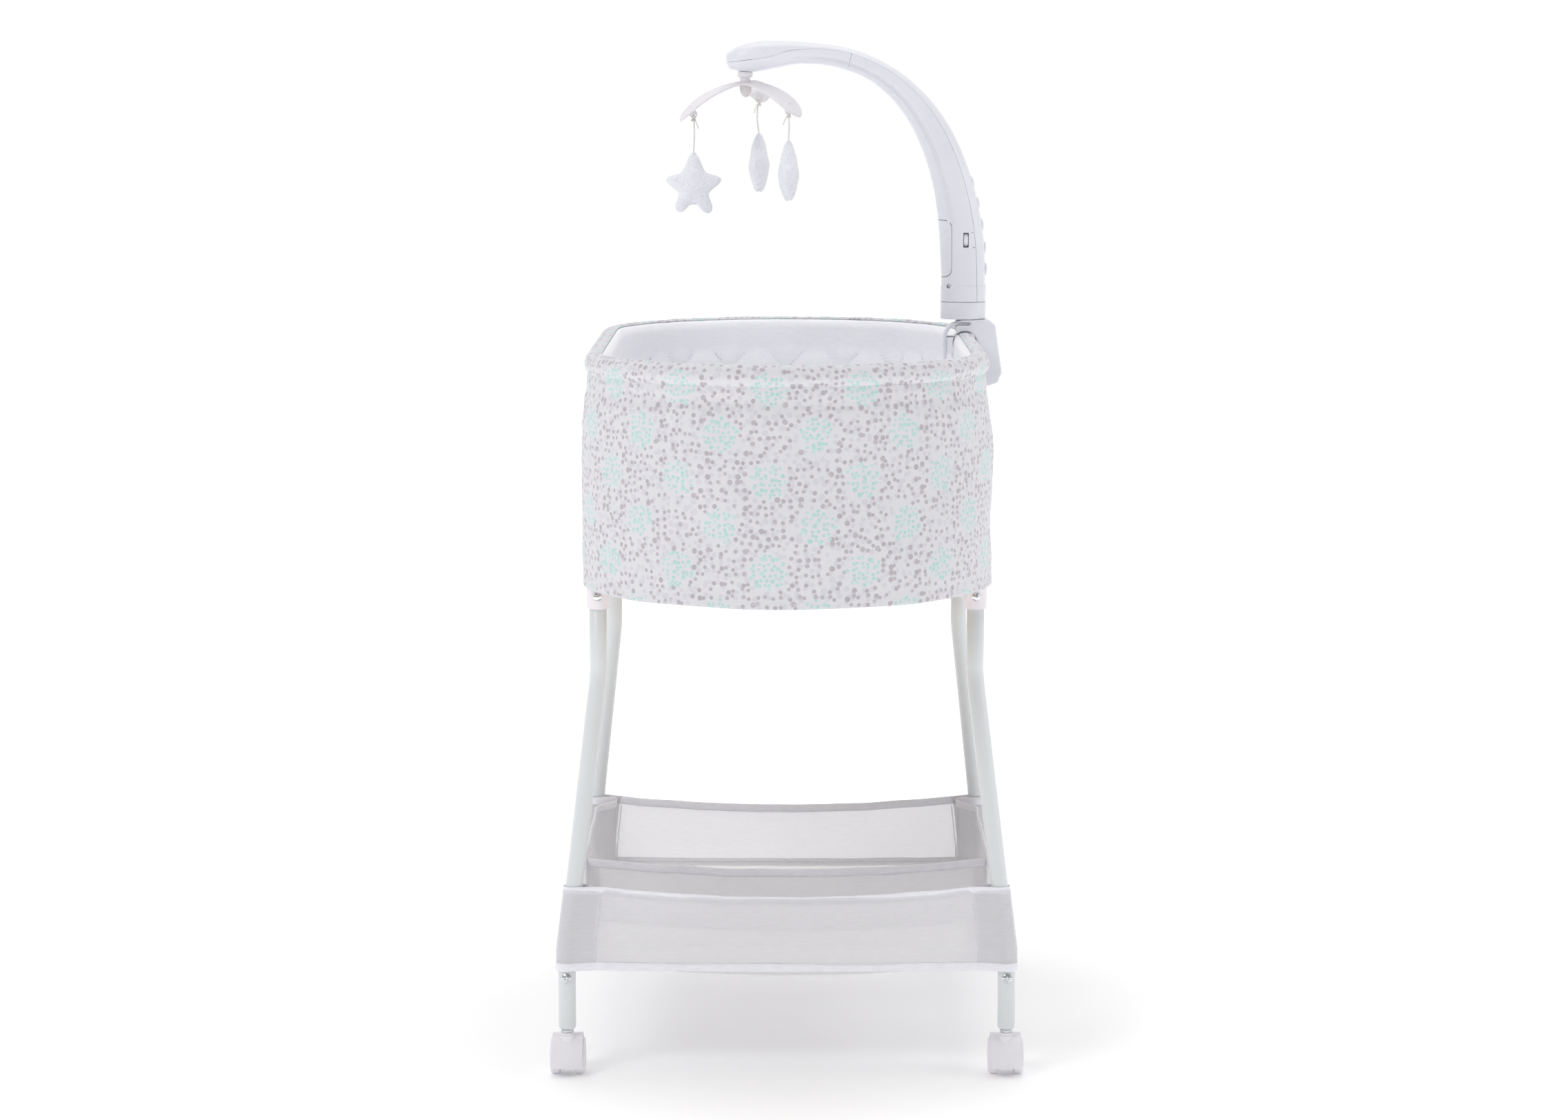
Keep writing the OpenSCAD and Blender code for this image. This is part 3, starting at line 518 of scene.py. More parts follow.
for i, tail_turn in ((1, -0.5), (2, 3.6), (3, 3.3)):
    path = cord_path(i)
    cord = sweep(f"hanging_cord_{i}", path, CORD_R, 10)
    finished(cord, CORD, f"cord_{i}", [f"string_{i}"])
    knot = finished(cord_knot(i, tail_turn), CORD, f"cord_{i}")

# ---------- basket ----------


def plan(u):
    """At share u of the way round from the foot end's middle: the way out, and the arc centre's Y."""
    d = (u % 1.0) * PERIMETER
    for length, start, y0, dy in (
        (ARC / 2, -pi / 2, -STRAIGHT, 0), (2 * STRAIGHT, 0, -STRAIGHT, 1), (ARC, 0, STRAIGHT, 0),
        (2 * STRAIGHT, pi, STRAIGHT, -1), (ARC / 2, pi, -STRAIGHT, 0),
    ):
        if d <= length:
            a = start + (0 if dy else d / RAIL_HW)
            return cos(a), sin(a), y0 + dy * d
        d -= length
    return 0.0, -1.0, -STRAIGHT


def around(u, out, z):
    """The point at share u, that far out from the rail's line."""
    nx, ny, cy = plan(u)
    return Vector((nx * (RAIL_HW + out), cy + ny * (RAIL_HW + out), z))


def ring_rows(profile, steps):
    """Rows round the basket, from the head end and back to it: profile(u) lists (out, z) points."""
    columns = [[around(u, out, z) for out, z in profile(u)] for u in (0.5 + k / steps for k in range(steps))]
    return [list(row) for row in zip(*columns)]


def ring_noise(u, z, along, up, seed):
    """Smooth noise round the basket, with its scales along the rim and up."""
    p = around(u, 0, 0)
    return noise.noise(Vector((p.x / along, p.y / along, z / up + 10 * seed)))


def along_cloth(steps):
    """The flat cloth's u for column i, in metres, 0 at the foot end's middle."""
    return lambda i: (i / steps - 0.5) * (PERIMETER + 2 * pi * PAD_R)


HEM_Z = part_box("outer_skirt")[0].z
HEM_STITCH, HEM_STITCH_Z, HEM_FOLD_Z, CREASE_Z = 0.0036, HEM_Z + 0.0055, HEM_Z + 0.0085, 0.745
SKIRT_OUT = [(HEM_Z, 0.001), (HEM_Z + 0.03, 0.003), (HEM_Z + 0.09, 0.0035), (HEM_Z + 0.15, 0.0025),
             (RAIL_Z - 0.04, -0.0005), (RAIL_Z - 0.016, -0.0028), (RAIL_Z - 0.003, -0.0050)]


def skirt_out(u, z):
    """How far out the outer cloth stands: a soft belly, dents, gathers under the rim and over the hem."""
    out = PAD_R + lookup(z, SKIRT_OUT)
    tucked = 1 - smoothstep(RAIL_Z - 0.028, RAIL_Z - 0.010, z)
    out += tucked * (0.0030 * ring_noise(u, z, 0.10, 0.08, 1.7) + 0.0017 * ring_noise(u, z, 0.032, 0.07, 4.2))
    high, low = smoothstep(0.69, 0.75, z), 1 - smoothstep(HEM_Z, HEM_Z + 0.05, z)
    out += 0.0017 * high * tucked * ring_noise(u, z, 0.014, 0.06, 8.8)
    out += 0.0011 * low * ring_noise(u, z, 0.020, 0.05, 2.1)
    side = smoothstep(0.86, 1.0, abs(plan(u)[0])) * smoothstep(0.62, 0.74, z)
    out += 0.0018 * side * ring_noise(u, z, 0.05, 0.016, 5.5)
    crease = CREASE_Z + 0.006 * ring_noise(u, 0, 0.12, 1, 3.3)
    out -= (0.0022 + 0.0022 * max(0.0, ring_noise(u, 0, 0.09, 1, 6.1))) * exp(-((z - crease) / 0.008) ** 2)
    out += 0.0006 * (1 - smoothstep(HEM_FOLD_Z - 0.001, HEM_FOLD_Z + 0.0008, z))
    return out - 0.0005 * exp(-((z - HEM_STITCH_Z) / 0.0008) ** 2)


def hem_wave(u):
    """How far the hem dips and rises."""
    return 0.0012 * ring_noise(u, 0, 0.07, 1, 9.4)


SKIRT_STEPS, SKIRT_ROWS, COTTON_T = 540, 72, 0.0012
skirt_zs = [HEM_Z + (RAIL_Z - 0.003 - HEM_Z) * (k / SKIRT_ROWS) ** 1.15 for k in range(SKIRT_ROWS + 1)]


def skirt_profile(u):
    """The outer cloth's (out, z) points at share u, from the hem up."""
    return [(skirt_out(u, z), z + hem_wave(u) * (1 - smoothstep(HEM_Z, HEM_Z + 0.05, z))) for z in skirt_zs]


cloth_u = along_cloth(SKIRT_STEPS)
outer_cloth = grid("outer_cloth", ring_rows(skirt_profile, SKIRT_STEPS), close_u=True,
                   uv=lambda i, j: (cloth_u(i), skirt_zs[j]))
thicken(outer_cloth, COTTON_T)
finished(outer_cloth, COTTON, "stand", ["outer_skirt"])


def stitch_row(name, places, length, width=0.0007, lift=0.0004):
    """Short thread stitches; places lists (point, way along, way out)."""
    verts, faces = [], []
    for point, along, out in places:
        across = along.cross(out).normalized()
        base = len(verts)
        for end in (-1, 0, 1):
            for side in (-1, 1):
                rise = lift if end == 0 else -lift * 0.5
                verts.append(point + along * (end * length / 2) + across * (side * width / 2) + out * rise)
                verts.append(point + along * (end * length / 2) + across * (side * width / 2) - out * lift)
        for k in (0, 4):
            a, b, c, d = base + k, base + k + 2, base + k + 4, base + k + 6
            faces += [(a, b, d, c), (a + 1, c + 1, d + 1, b + 1), (a, c, c + 1, a + 1), (b, b + 1, d + 1, d)]
        faces += [(base, base + 1, base + 3, base + 2), (base + 8, base + 10, base + 11, base + 9)]
    return link(name, verts, faces)


def hem_stitches():
    """The stitch line that holds the hem."""
    count = round(PERIMETER / HEM_STITCH)
    places = []
    for k in range(count):
        u = k / count
        nx, ny, _ = plan(u)
        z = HEM_STITCH_Z + hem_wave(u)
        places.append((around(u, skirt_out(u, z) + 0.0002, z), Vector((-ny, nx, 0)), Vector((nx, ny, 0))))
    return stitch_row("hem_stitches", places, 0.0025)


stitching = finished(hem_stitches(), THREAD, "stand")


def roll_out(u, a):
    """The padded roll's radius at angle a, with soft lumps and small gathers."""
    lumps = 0.0006 * ring_noise(u, sin(a), 0.035, 1.0, cos(a) / 10)
    gathers = 0.0004 * ring_noise(u, a, 0.009, 1.4, 5.0)
    return PAD_R - 0.0004 + lumps + gathers


ROLL_SIDES = 40
roll_angles = [radians(-75 + 197 * k / ROLL_SIDES) for k in range(ROLL_SIDES + 1)]


def roll_profile(u):
    """The roll's (out, z) points at share u, from under its outer side over to its inner one."""
    return [(roll_out(u, a) * cos(a), RAIL_Z + roll_out(u, a) * sin(a)) for a in roll_angles]


rim_roll = grid("rim_roll", ring_rows(roll_profile, SKIRT_STEPS), close_u=True,
                uv=lambda i, j: (cloth_u(i), RAIL_Z + 0.0005 + PAD_R * roll_angles[j]))
thicken(rim_roll, COTTON_T)
finished(rim_roll, COTTON, "stand", ["rim_padding"])

QUILT, QUILT_STITCH = PERIMETER / 27, 0.0034
LINER_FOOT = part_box("liner")[0].z + 0.002
LINER_TOP = RAIL_Z - 0.012
WALL_ROWS = 60


def diamonds(x, y, pitch):
    """0 on the lines of a diamond quilting and 1 in the middle of its cells."""
    return abs(sin(pi * (x + y) / pitch) * sin(pi * (x - y) / pitch))


def wall_out(drop):
    """How far out the liner hangs, that far under its top: it eases off the roll to hang inside the rail."""
    return -0.0095 - (PAD_R - 0.0088) * exp(-drop / 0.012)


def liner_profile(u):
    """The liner's (out, z) points at share u: over the roll, then down the quilted wall with its folds."""
    s = u * PERIMETER
    nx, ny, cy = plan(u)
    turn = smoothstep(0.15, 0.6, abs(nx)) * smoothstep(0.1, 0.5, abs(ny))
    over = []
    for turned in range(100, 191, 5):
        a = radians(turned)
        reach = roll_out(u, a) - 0.0024 + 0.0020 * smoothstep(122, 136, turned)
        over.append((cos(a) * reach, RAIL_Z + sin(a) * reach))
    wall = []
    for k in range(1, WALL_ROWS + 1):
        z = LINER_TOP + (LINER_FOOT - LINER_TOP) * k / WALL_ROWS
        drop = LINER_TOP - z
        out = wall_out(drop)
        quilted = smoothstep(0.004, 0.03, drop)
        puff = diamonds(s, z, QUILT) ** 0.45
        folds = ring_noise(u, z, 0.009, 0.13, 7.7) * (0.25 + 0.75 * turn)
        side = (1 if nx > 0 else -1) * (1 if ny > 0 else -1)
        slanted = ring_noise(u + side * 0.7 * drop / PERIMETER, z, 0.016, 0.30, 3.1) * turn
        out -= quilted * (0.0050 * puff + 0.0036 * max(0.0, slanted)) - 0.0014 * folds
        wall.append((out, z))
    return over + wall


liner_heights = [0.0]
for (a, b), (c, d) in zip(liner_profile(0.5)[:-1], liner_profile(0.5)[1:]):
    liner_heights.append(liner_heights[-1] + hypot(c - a, d - b))
LINER_STEPS = 600
liner_u = along_cloth(LINER_STEPS)
liner_cloth = grid("liner_cloth", ring_rows(liner_profile, LINER_STEPS), close_u=True,
                   uv=lambda i, j: (liner_u(i), -liner_heights[j]))
thicken(liner_cloth, 0.0008, 1.0)
finished(liner_cloth, SATIN, "stand", ["liner"])


def quilt_stitches():
    """Stitch lines along the quilting's diagonals."""
    places = []
    for sign in (-1, 1):
        for line in range(int(PERIMETER / QUILT) + 6):
            z = LINER_FOOT + 0.03
            while z < LINER_TOP - 0.02:
                s = sign * z + line * QUILT
                if 0 <= s < PERIMETER:
                    u = s / PERIMETER
                    nx, ny, _ = plan(u)
                    out = wall_out(LINER_TOP - z) - 0.0016
                    along = (Vector((-ny, nx, 0)) * sign + Vector((0, 0, 1))).normalized()
                    places.append((around(u, out, z), along, Vector((-nx, -ny, 0))))
                z += QUILT_STITCH
    return stitch_row("quilt_stitches", places, 0.0032, 0.0009, 0.0006)


# These stitches carry the darker thread, with painted shade along the quilt lines
finished(quilt_stitches(), SHADED_QUILT_THREAD, "stand")

# ---------- mattress ----------


PAD_QUILT, PAD_SIDES = 0.11, 200


def mattress_points():
    """A crowned pad: a piped edge with pulled-in sides, and a quilted top."""
    half = (mat_high.x - mat_low.x) / 2 - 0.002
    straight = (mat_high.y - mat_low.y) / 2 - 0.002 - half
    low, high = mat_low.z, mat_high.z
    mid = (low + high) / 2
    rings = [(0.0, high - 0.002)] + [(k / 14, high - 0.002 - 0.004 * (k / 14) ** 6) for k in range(1, 14)]
    rings += [(0.985, high - 0.007), (1.0, high - 0.0105), (0.992, mid + 0.001), (1.0, low + 0.0085),
              (0.985, low + 0.003)]
    rings += [(k / 10, low + 0.001) for k in range(9, -1, -1)]
    rows = []
    for share, z in rings:
        row = []
        for a in ring_turns(PAD_SIDES):
            x, y = cos(a), sin(a)
            end = straight * (1 if y > 0 else -1) * min(1.0, abs(y) * 6)
            px, py = half * share * x, (half * y + end) * share
            puff = 0
            if z > mid:
                puff = 0.0030 * (diamonds(px, py, PAD_QUILT) ** 0.5 - 0.8) * (1 - share ** 8)
            row.append(Vector((px, py, z + puff + 0.0005 * bumps(px, py, 0.03, 2.2) * (1 - share))))
        rows.append(row)
    return rows


mattress = grid("mattress", mattress_points(), close_u=True)


def quilt_held(p):
    """1 on the mattress's underside and edge and along its quilt lines."""
    line = 1 - smoothstep(0.02, 0.30, diamonds(p.x, p.y, PAD_QUILT))
    return max(line, 1 - smoothstep(mat_high.z - 0.008, mat_high.z - 0.005, p.z))


swell(mattress, 0.006, 0.006, quilt_held)
subdivide(mattress)
finished(mattress, SHEET_CLOTH, "mattress", ["mattress_pad"])

# ---------- stand ----------

CORNERS = {"fl": (-1, -1), "fr": (1, -1), "rl": (-1, 1), "rr": (1, 1)}
FOOT = Vector(JOINTS["swivel_turn_rr"]["pos_m"])
lower_low, lower_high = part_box("lower_legs")
LEG_R = lower_high.x - FOOT.x
leg_low, leg_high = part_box("upper_leg_rr")
LEG_TOP = Vector((leg_low.x + LEG_R, leg_low.y + LEG_R, leg_high.z))
LEG_JOIN = lower_high.z
BEND_R, BEND_TOP, BEND_LOW = 0.080, 0.440, 0.130
SPLAY_RUN = hypot(FOOT.x - LEG_TOP.x, FOOT.y - LEG_TOP.y)
SPLAY_AZ = atan2(FOOT.y - LEG_TOP.y, FOOT.x - LEG_TOP.x)
SPLAY = (asin(2 * BEND_R / hypot(BEND_TOP - BEND_LOW, 2 * BEND_R - SPLAY_RUN))
         - atan2(2 * BEND_R - SPLAY_RUN, BEND_TOP - BEND_LOW))
BEND_MID = BEND_LOW + BEND_R * tan(SPLAY / 2)


def leg_centre(z):
    """The leg's centre near its foot, for the +X +Y corner."""
    back = max(0.0, z - BEND_MID) * tan(SPLAY)
    return FOOT.x - back * cos(SPLAY_AZ), FOOT.y - back * sin(SPLAY_AZ)


def leg_path(sx, sy):
    """The upper leg's line from its bracket down, through its two bends."""
    turns = [SPLAY * k / 10 for k in range(11)]
    line = [(0, LEG_TOP.z)] + [(BEND_R * (1 - cos(a)), BEND_TOP - BEND_R * sin(a)) for a in turns]
    line += [(SPLAY_RUN - BEND_R * (1 - cos(a)), BEND_LOW + BEND_R * sin(a)) for a in reversed(turns)]
    line.append((SPLAY_RUN, LEG_JOIN + 0.0012))
    return [(sx * (LEG_TOP.x + d * cos(SPLAY_AZ)), sy * (LEG_TOP.y + d * sin(SPLAY_AZ)), z) for d, z in line]


def rounded(node, material, body, width, segments=2, angle=32):
    """A CAD node's own shape with its edges rounded as moulding or pressing rounds them."""
    made = bmesh.new()
    made.from_mesh(frame["nodes"][node].data)
    bmesh.ops.remove_doubles(made, verts=made.verts, dist=0.00001)
    bmesh.ops.dissolve_limit(made, angle_limit=radians(0.4), verts=made.verts, edges=made.edges)
    mesh = bpy.data.meshes.new(node + "_rounded")
    made.to_mesh(mesh)
    made.free()
    obj = shown(mesh.name, mesh)
    soften(obj, width, segments, angle)
    modifier(obj, "WEIGHTED_NORMAL", "shading", keep_sharp=False, weight=80)
    return finished(obj, material, body, [node])


def moulded(node, material, body, voxel, rounds):
    """A CAD node's shape with the generous radii of a thick moulding."""
    obj = shown(node + "_moulded", frame["nodes"][node].data.copy())
    modifier(obj, "REMESH", "skin", mode="VOXEL", voxel_size=voxel, use_smooth_shade=True)
    modifier(obj, "SMOOTH", "radii", factor=0.5, iterations=rounds)
    return finished(obj, material, body, [node])


def dressed(node, material):
    """A CAD node shown as it is, with a material."""
    obj = frame["nodes"][node]
    obj.data.materials.clear()
    obj.data.materials.append(material)


for name, (sx, sy) in CORNERS.items():
    tube = sweep(f"leg_tube_{name}", leg_path(sx, sy), LEG_R, 40)
    finished(tube, TUBE, "stand", [f"upper_leg_{name}"])
    rounded(f"bracket_{name}", BRACKET, "stand", 0.0012, 3)
    rounded(f"caster_hood_{name}", CASTER, f"swivel_{name}", 0.0012, 3)
    rounded(f"caster_wheels_{name}", CASTER, f"wheels_{name}", 0.0006, 2, 20)
for name in ("rl", "rr"):
    rounded(f"brake_lever_{name}", BRAKE, f"brake_{name}", 0.0004)
rounded("lower_legs", TUBE, "stand", 0.0003, 2, 25)
rounded("leg_screws", ZINC, "stand", 0.0001, 1, 40)
for node in ("top_rail", "base_rail", "cross_rails", "corner_posts"):
    dressed(node, RAIL)
for node, material in (("caster_stems", ZINC), ("bracket_bolts", CHROME), ("base_board", WOOD),
                       ("battery_cells", CELL), ("circuit_board", LAMINATE), ("motor_unit", MOTOR)):
    dressed(node, material)


def knurled_ring():
    """The serrated plug ring between a leg and its caster."""
    low, high, r, edge, tooth = 0.0486, lower_low.z - 0.0002, 0.0066, 0.0006, 0.0003
    profile = [(low, r - edge, tooth), (low + 0.0005, r, tooth), (high - 0.0005, r, tooth),
               (high, r - edge, tooth)]
    return grid("ring", toothed_rows(profile, 30), close_u=True, cap=True)


rings = [place(knurled_ring(), (sx * FOOT.x, sy * FOOT.y, 0)) for sx, sy in CORNERS.values()]
finished(join("stem_rings", *rings), ZINC, "stand")

# ---------- storage bin ----------

panel_low, panel_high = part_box("storage_rear_panel")
BIN_Z0, BIN_Z1 = panel_low.z, panel_high.z
BIN_SAG = 0.012
SLEEVE_R = LEG_R + 0.0019
SEAM_IN, SEAM_STITCHES = 0.030, 24
SHEER_T = 0.0009
bin_low, bin_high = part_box("storage_bin")
divider_low, divider_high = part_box("storage_divider")
SLEEVE_STEPS, SPAN_STEPS, PANEL_ROWS = 16, 60, 26


def panel_plan(z, sy):
    """The end panel's line at a height: behind one leg, round it, across the front and round the other."""
    lx, ly = leg_centre(z)
    seam = lx - SEAM_IN
    turn = asin(1) - asin(SLEEVE_R / SEAM_IN)
    angles = [turn + (2 * pi - 2 * turn) * k / SLEEVE_STEPS for k in range(SLEEVE_STEPS + 1)]
    loop = [(-lx + SLEEVE_R * cos(a), -SLEEVE_R * sin(a)) for a in angles]
    left = [(-seam - 0.002, -0.0004)] + loop
    across = [(-seam + 2 * seam * k / SPAN_STEPS, 0.0016) for k in range(SPAN_STEPS + 1)]
    right = [(-x, y) for x, y in reversed(left)]
    return [(x, sy * (ly + out)) for x, out in left + across + right]


def panel_row(share, sy):
    """One row of an end panel, at that share of its height, with the cloth's slack between the legs."""
    low_plan = panel_plan(BIN_Z0, sy)
    row = []
    for i, (x0, _) in enumerate(low_plan):
        inside = max(0.0, 1 - (x0 / (FOOT.x - 0.02)) ** 2)
        bottom = BIN_Z0 - 0.002 * inside + 0.0006 * bumps(x0, sy, 0.05, 3.0)
        top = BIN_Z1 - BIN_SAG * inside + 0.0008 * bumps(x0, sy, 0.04, 6.0)
        z = bottom + (top - bottom) * share
        x, y = panel_plan(z, sy)[i]
        middle = smoothstep(0.0, 0.03, FOOT.x - SEAM_IN - abs(x))
        slack = 0.0022 * bumps(x, z, 0.13, 1.1 + sy)
        slack += 0.0008 * noise.noise(Vector((x / 0.05, z / 0.012, 9.1 + sy)))
        row.append(Vector((x, y + sy * slack * middle * sin(pi * share) ** 0.5, z)))
    return row


TAPE_H, TAPE_T = 0.0095, 0.0011


def edge_tape(name, line, up):
    """A binding folded over a cloth's edge: line is the edge, and up is 1 or -1, the way off the cloth."""
    half = [(-TAPE_H, TAPE_T), (-0.0008, TAPE_T * 1.15), (0.0006, TAPE_T * 0.6)]
    section = half + [(rise, -out) for rise, out in reversed(half)]
    rows = [[p + Vector((0, 0, up)) * rise + way * out for rise, out in section]
            for p, way in zip(line, ways_out(line))]
    runs = run_lengths(line)
    across = [0, TAPE_H, TAPE_H + 0.001, TAPE_H + 0.002, TAPE_H + 0.003, 2 * TAPE_H + 0.003]
    made = grid(name, rows, close_u=True, cap=True)
    layer = made.data.uv_layers.new(name="Cloth")
    n = len(section)
    for face in made.data.polygons:
        for loop in face.loop_indices:
            k = made.data.loops[loop].vertex_index
            layer.data[loop].uv = (runs[k // n], across[k % n])
    subdivide(made)
    return finished(made, TAPE, "stand")


def ways_out(line):
    """The level direction across a line at each of its points."""
    outs = []
    for k in range(len(line)):
        ahead = way_along(line, k)
        outs.append(Vector((ahead.y, -ahead.x, 0)).normalized())
    return outs


def storage_end(label, sy):
    """An end panel of the bin with its two bindings and the seams of its leg sleeves."""
    rows = [panel_row(k / PANEL_ROWS, sy) for k in range(PANEL_ROWS + 1)]
    runs = run_lengths(rows[0])
    panel = grid(f"bin_panel_{label}", rows, uv=lambda i, j: (runs[i], rows[j][i].z))
    thicken(panel, SHEER_T, 0.0)
    finished(panel, SHEER, "stand", [f"storage_{label}_panel"])
    tapes = [edge_tape(f"bin_tape_{label}_{edge}", row, up)
             for edge, row, up in (("top", rows[-1], 1), ("bottom", rows[0], -1))]
    places = []
    for side in (-1, 1):
        for face in (1, -1):
            for z in np.linspace(BIN_Z0 + 0.012, BIN_Z1 - 0.014, SEAM_STITCHES):
                lx, ly = leg_centre(z)
                out = 0.0023 if face > 0 else -0.0006
                at = Vector((side * (lx - SEAM_IN - 0.001), sy * (ly + out), z))
                places.append((at, Vector((0, 0, 1)), Vector((0, sy * face, 0))))
    seams = finished(stitch_row(f"bin_seams_{label}", places, 0.0026), THREAD, "stand")


storage_end("front", -1)
storage_end("rear", 1)

WALL_SAG, WALL_STEPS, FLOOR_STEPS = 0.012, 10, 48
BIN_HW = bin_high.x - 0.0025
BIN_FLOOR = bin_low.z + 0.0015


def bin_floor(x):
    """The bin's floor at share x of its half width: a sag, lifted where it meets the walls."""
    return BIN_FLOOR + 0.013 * x * x + 0.006 * smoothstep(0.93, 1, abs(x))


def bin_row(y):
    """The bin's cross-section at Y: a wall, the sagging floor and the other wall."""
    _, end = leg_centre(BIN_Z0)
    share = abs(y) / end
    narrow = 1 - 0.105 * smoothstep(0.86, 0.985, share)
    top = BIN_Z1 - 0.004 - WALL_SAG * (1 - min(1.0, share) ** 2)
    belly = 0.0015 * bumps(y, 0, 0.09, 4.4)
    section = []
    for k in range(WALL_STEPS + 1):
        s = k / WALL_STEPS
        z = top + (BIN_FLOOR + 0.019 - top) * s
        section.append((-(BIN_HW - 0.002 + 0.003 * sin(pi * s) + belly) * narrow, z))
    for k in range(1, FLOOR_STEPS):
        x = -1 + 2 * k / FLOOR_STEPS
        z = bin_floor(x) + 0.0035 * smoothstep(0.8, 1, share)
        z += 0.0016 * bumps(x * BIN_HW, y, 0.10, 2.5) + 0.0007 * noise.noise(Vector((x * 3, y / 0.016, 1.0)))
        section.append((x * (BIN_HW - 0.001) * narrow, z))
    section += [(-x, z) for x, z in reversed(section[:WALL_STEPS + 1])]
    return [Vector((x, y, z)) for x, z in section]


def bin_end(z):
    """How far from the middle the bin's cloth meets its end panels, at a height."""
    return leg_centre(z)[1] - 0.0006


BIN_STEPS = 90
bin_rows = []
for k in range(BIN_STEPS + 1):
    share = -1 + 2 * k / BIN_STEPS
    row = bin_row(share * bin_end(BIN_Z0))
    lift = smoothstep(0.93, 1, abs(share))
    row = [Vector((p.x, p.y, p.z + lift * max(0.0, BIN_Z0 + 0.004 - p.z))) for p in row]
    bin_rows.append([Vector((p.x, share * bin_end(p.z), p.z)) for p in row])
bin_runs = run_lengths(bin_rows[BIN_STEPS // 2])
bin_cloth = grid("bin_cloth", bin_rows, uv=lambda i, j: (bin_runs[i], bin_rows[j][i].y))
thicken(bin_cloth, SHEER_T, 0.0)
finished(bin_cloth, SHEER, "stand", ["storage_bin"])
wall_tapes = [edge_tape(f"bin_tape_{label}", [row[column] for row in bin_rows], 1)
              for label, column in (("left", 0), ("right", -1))]


def divider():
    """The cloth wall across the bin's middle."""
    y = (divider_low.y + divider_high.y) / 2
    half = BIN_HW - 0.004
    steps, levels = 60, 16
    rows = []
    for j in range(levels + 1):
        row = []
        for i in range(steps + 1):
            x = -1 + 2 * i / steps
            top = divider_high.z - BIN_SAG * (1 - x * x) + 0.0012 * bumps(x, 0, 0.2, 5.0)
            low = bin_floor(x) + 0.001
            z = low + (top - low) * j / levels
            slack = 0.004 * bumps(x * half, z, 0.12, 7.0)
            slack += 0.0009 * noise.noise(Vector((x * 6, z / 0.02, 3.0)))
            row.append(Vector((x * half, y + slack * sin(pi * i / steps) ** 0.5, z)))
        rows.append(row)
    cloth = grid("bin_divider", rows, uv=lambda i, j: (rows[j][i].x, rows[j][i].z))
    thicken(cloth, SHEER_T, 0.0)
    finished(cloth, SHEER, "stand", ["storage_divider"])
    tape = edge_tape("bin_tape_divider", rows[-1], 1)


divider()

# ---------- mobile arm ----------

ARM = Vector(JOINTS["arm_swivel"]["pos_m"])
HUB = Vector(JOINTS["spinner_turn"]["pos_m"])
WHEEL = Vector(JOINTS["volume_turn"]["pos_m"])
COLLAR_Z, ARM_Z, ARM_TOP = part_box("arm_collar")[0].z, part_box("arm_outer_shell")[0].z, 1.107
CURVE_X, CURVE_Z, CURVE_N = 0.010, 0.830, 2.4
HEAD_LEN, HEAD_DROP = 0.076, 0.009
FOOT_SHARE, HEAD_SHARE, SEAM_SHARE = 0.04, 0.80, 0.675
SEAM_AZ, SHELL_T = 60, 0.0022
# The arm's half depth and half width, by X from the head's tip to the foot
HALF_DEEP = [(-0.066, 0.0085), (-0.0635, 0.0108), (-0.060, 0.0130), (-0.054, 0.0152), (-0.046, 0.0165),
             (-0.030, 0.0173), (-0.008, 0.0155), (0.012, 0.013), (0.040, 0.012), (0.105, 0.0132),
             (0.140, 0.0159), (0.176, 0.0204), (0.195, 0.023), (0.203, 0.0258), (0.206, 0.0265)]
HALF_WIDE = [(-0.066, 0.009), (-0.0635, 0.0115), (-0.060, 0.0143), (-0.048, 0.0183), (-0.030, 0.019),
             (0.012, 0.015), (0.072, 0.014), (0.160, 0.018), (0.206, 0.021)]


def arm_line(t):
    """The arm's centreline from its foot at 0 to the head's tip at 1."""
    if t <= FOOT_SHARE:
        return Vector((ARM.x, ARM.y, ARM_Z + (CURVE_Z - ARM_Z) * t / FOOT_SHARE))
    if t <= HEAD_SHARE:
        a = pi / 2 * (t - FOOT_SHARE) / (HEAD_SHARE - FOOT_SHARE)
        x = CURVE_X + (ARM.x - CURVE_X) * max(0.0, cos(a)) ** (2 / CURVE_N)
        return Vector((x, ARM.y, CURVE_Z + (ARM_TOP - CURVE_Z) * sin(a) ** (2 / CURVE_N)))
    u = (t - HEAD_SHARE) / (1 - HEAD_SHARE)
    return Vector((CURVE_X - HEAD_LEN * u, ARM.y, ARM_TOP - HEAD_DROP * u ** 1.5))


def arm_share(z):
    """The share along the arm's curve at a height."""
    rise = (z - CURVE_Z) / (ARM_TOP - CURVE_Z)
    return FOOT_SHARE + (HEAD_SHARE - FOOT_SHARE) * asin(rise ** (CURVE_N / 2)) / (pi / 2)


def arm_out(t):
    """The way out from the arm, across its line and in its own plane."""
    along = arm_line(min(1, t + 0.006)) - arm_line(max(0, t - 0.006))
    return Vector((along.z, 0, -along.x)).normalized()


def smooth_lookup(x, table, reach):
    """The table read as a soft curve."""
    return sum(lookup(x + reach * k / 3, table) for k in range(-3, 4)) / 7


def arm_skin(t, az, grow=0.0):
    """The arm's surface at share t: angle 0 faces outwards and 90 faces the foot end."""
    c, n = arm_line(t), arm_out(t)
    reach = min(0.006, ARM.x - c.x)
    a, b = (smooth_lookup(c.x, table, reach) + grow for table in (HALF_DEEP, HALF_WIDE))
    ca, sa = cos(radians(az)), sin(radians(az))
    u, v = (half * (1 if w > 0 else -1) * abs(w) ** 0.8 for half, w in ((a, ca), (b, sa)))
    return c + n * u + Vector((0, -v, 0))


LIP_Z, GROOVES = 0.8385, (112, 248)


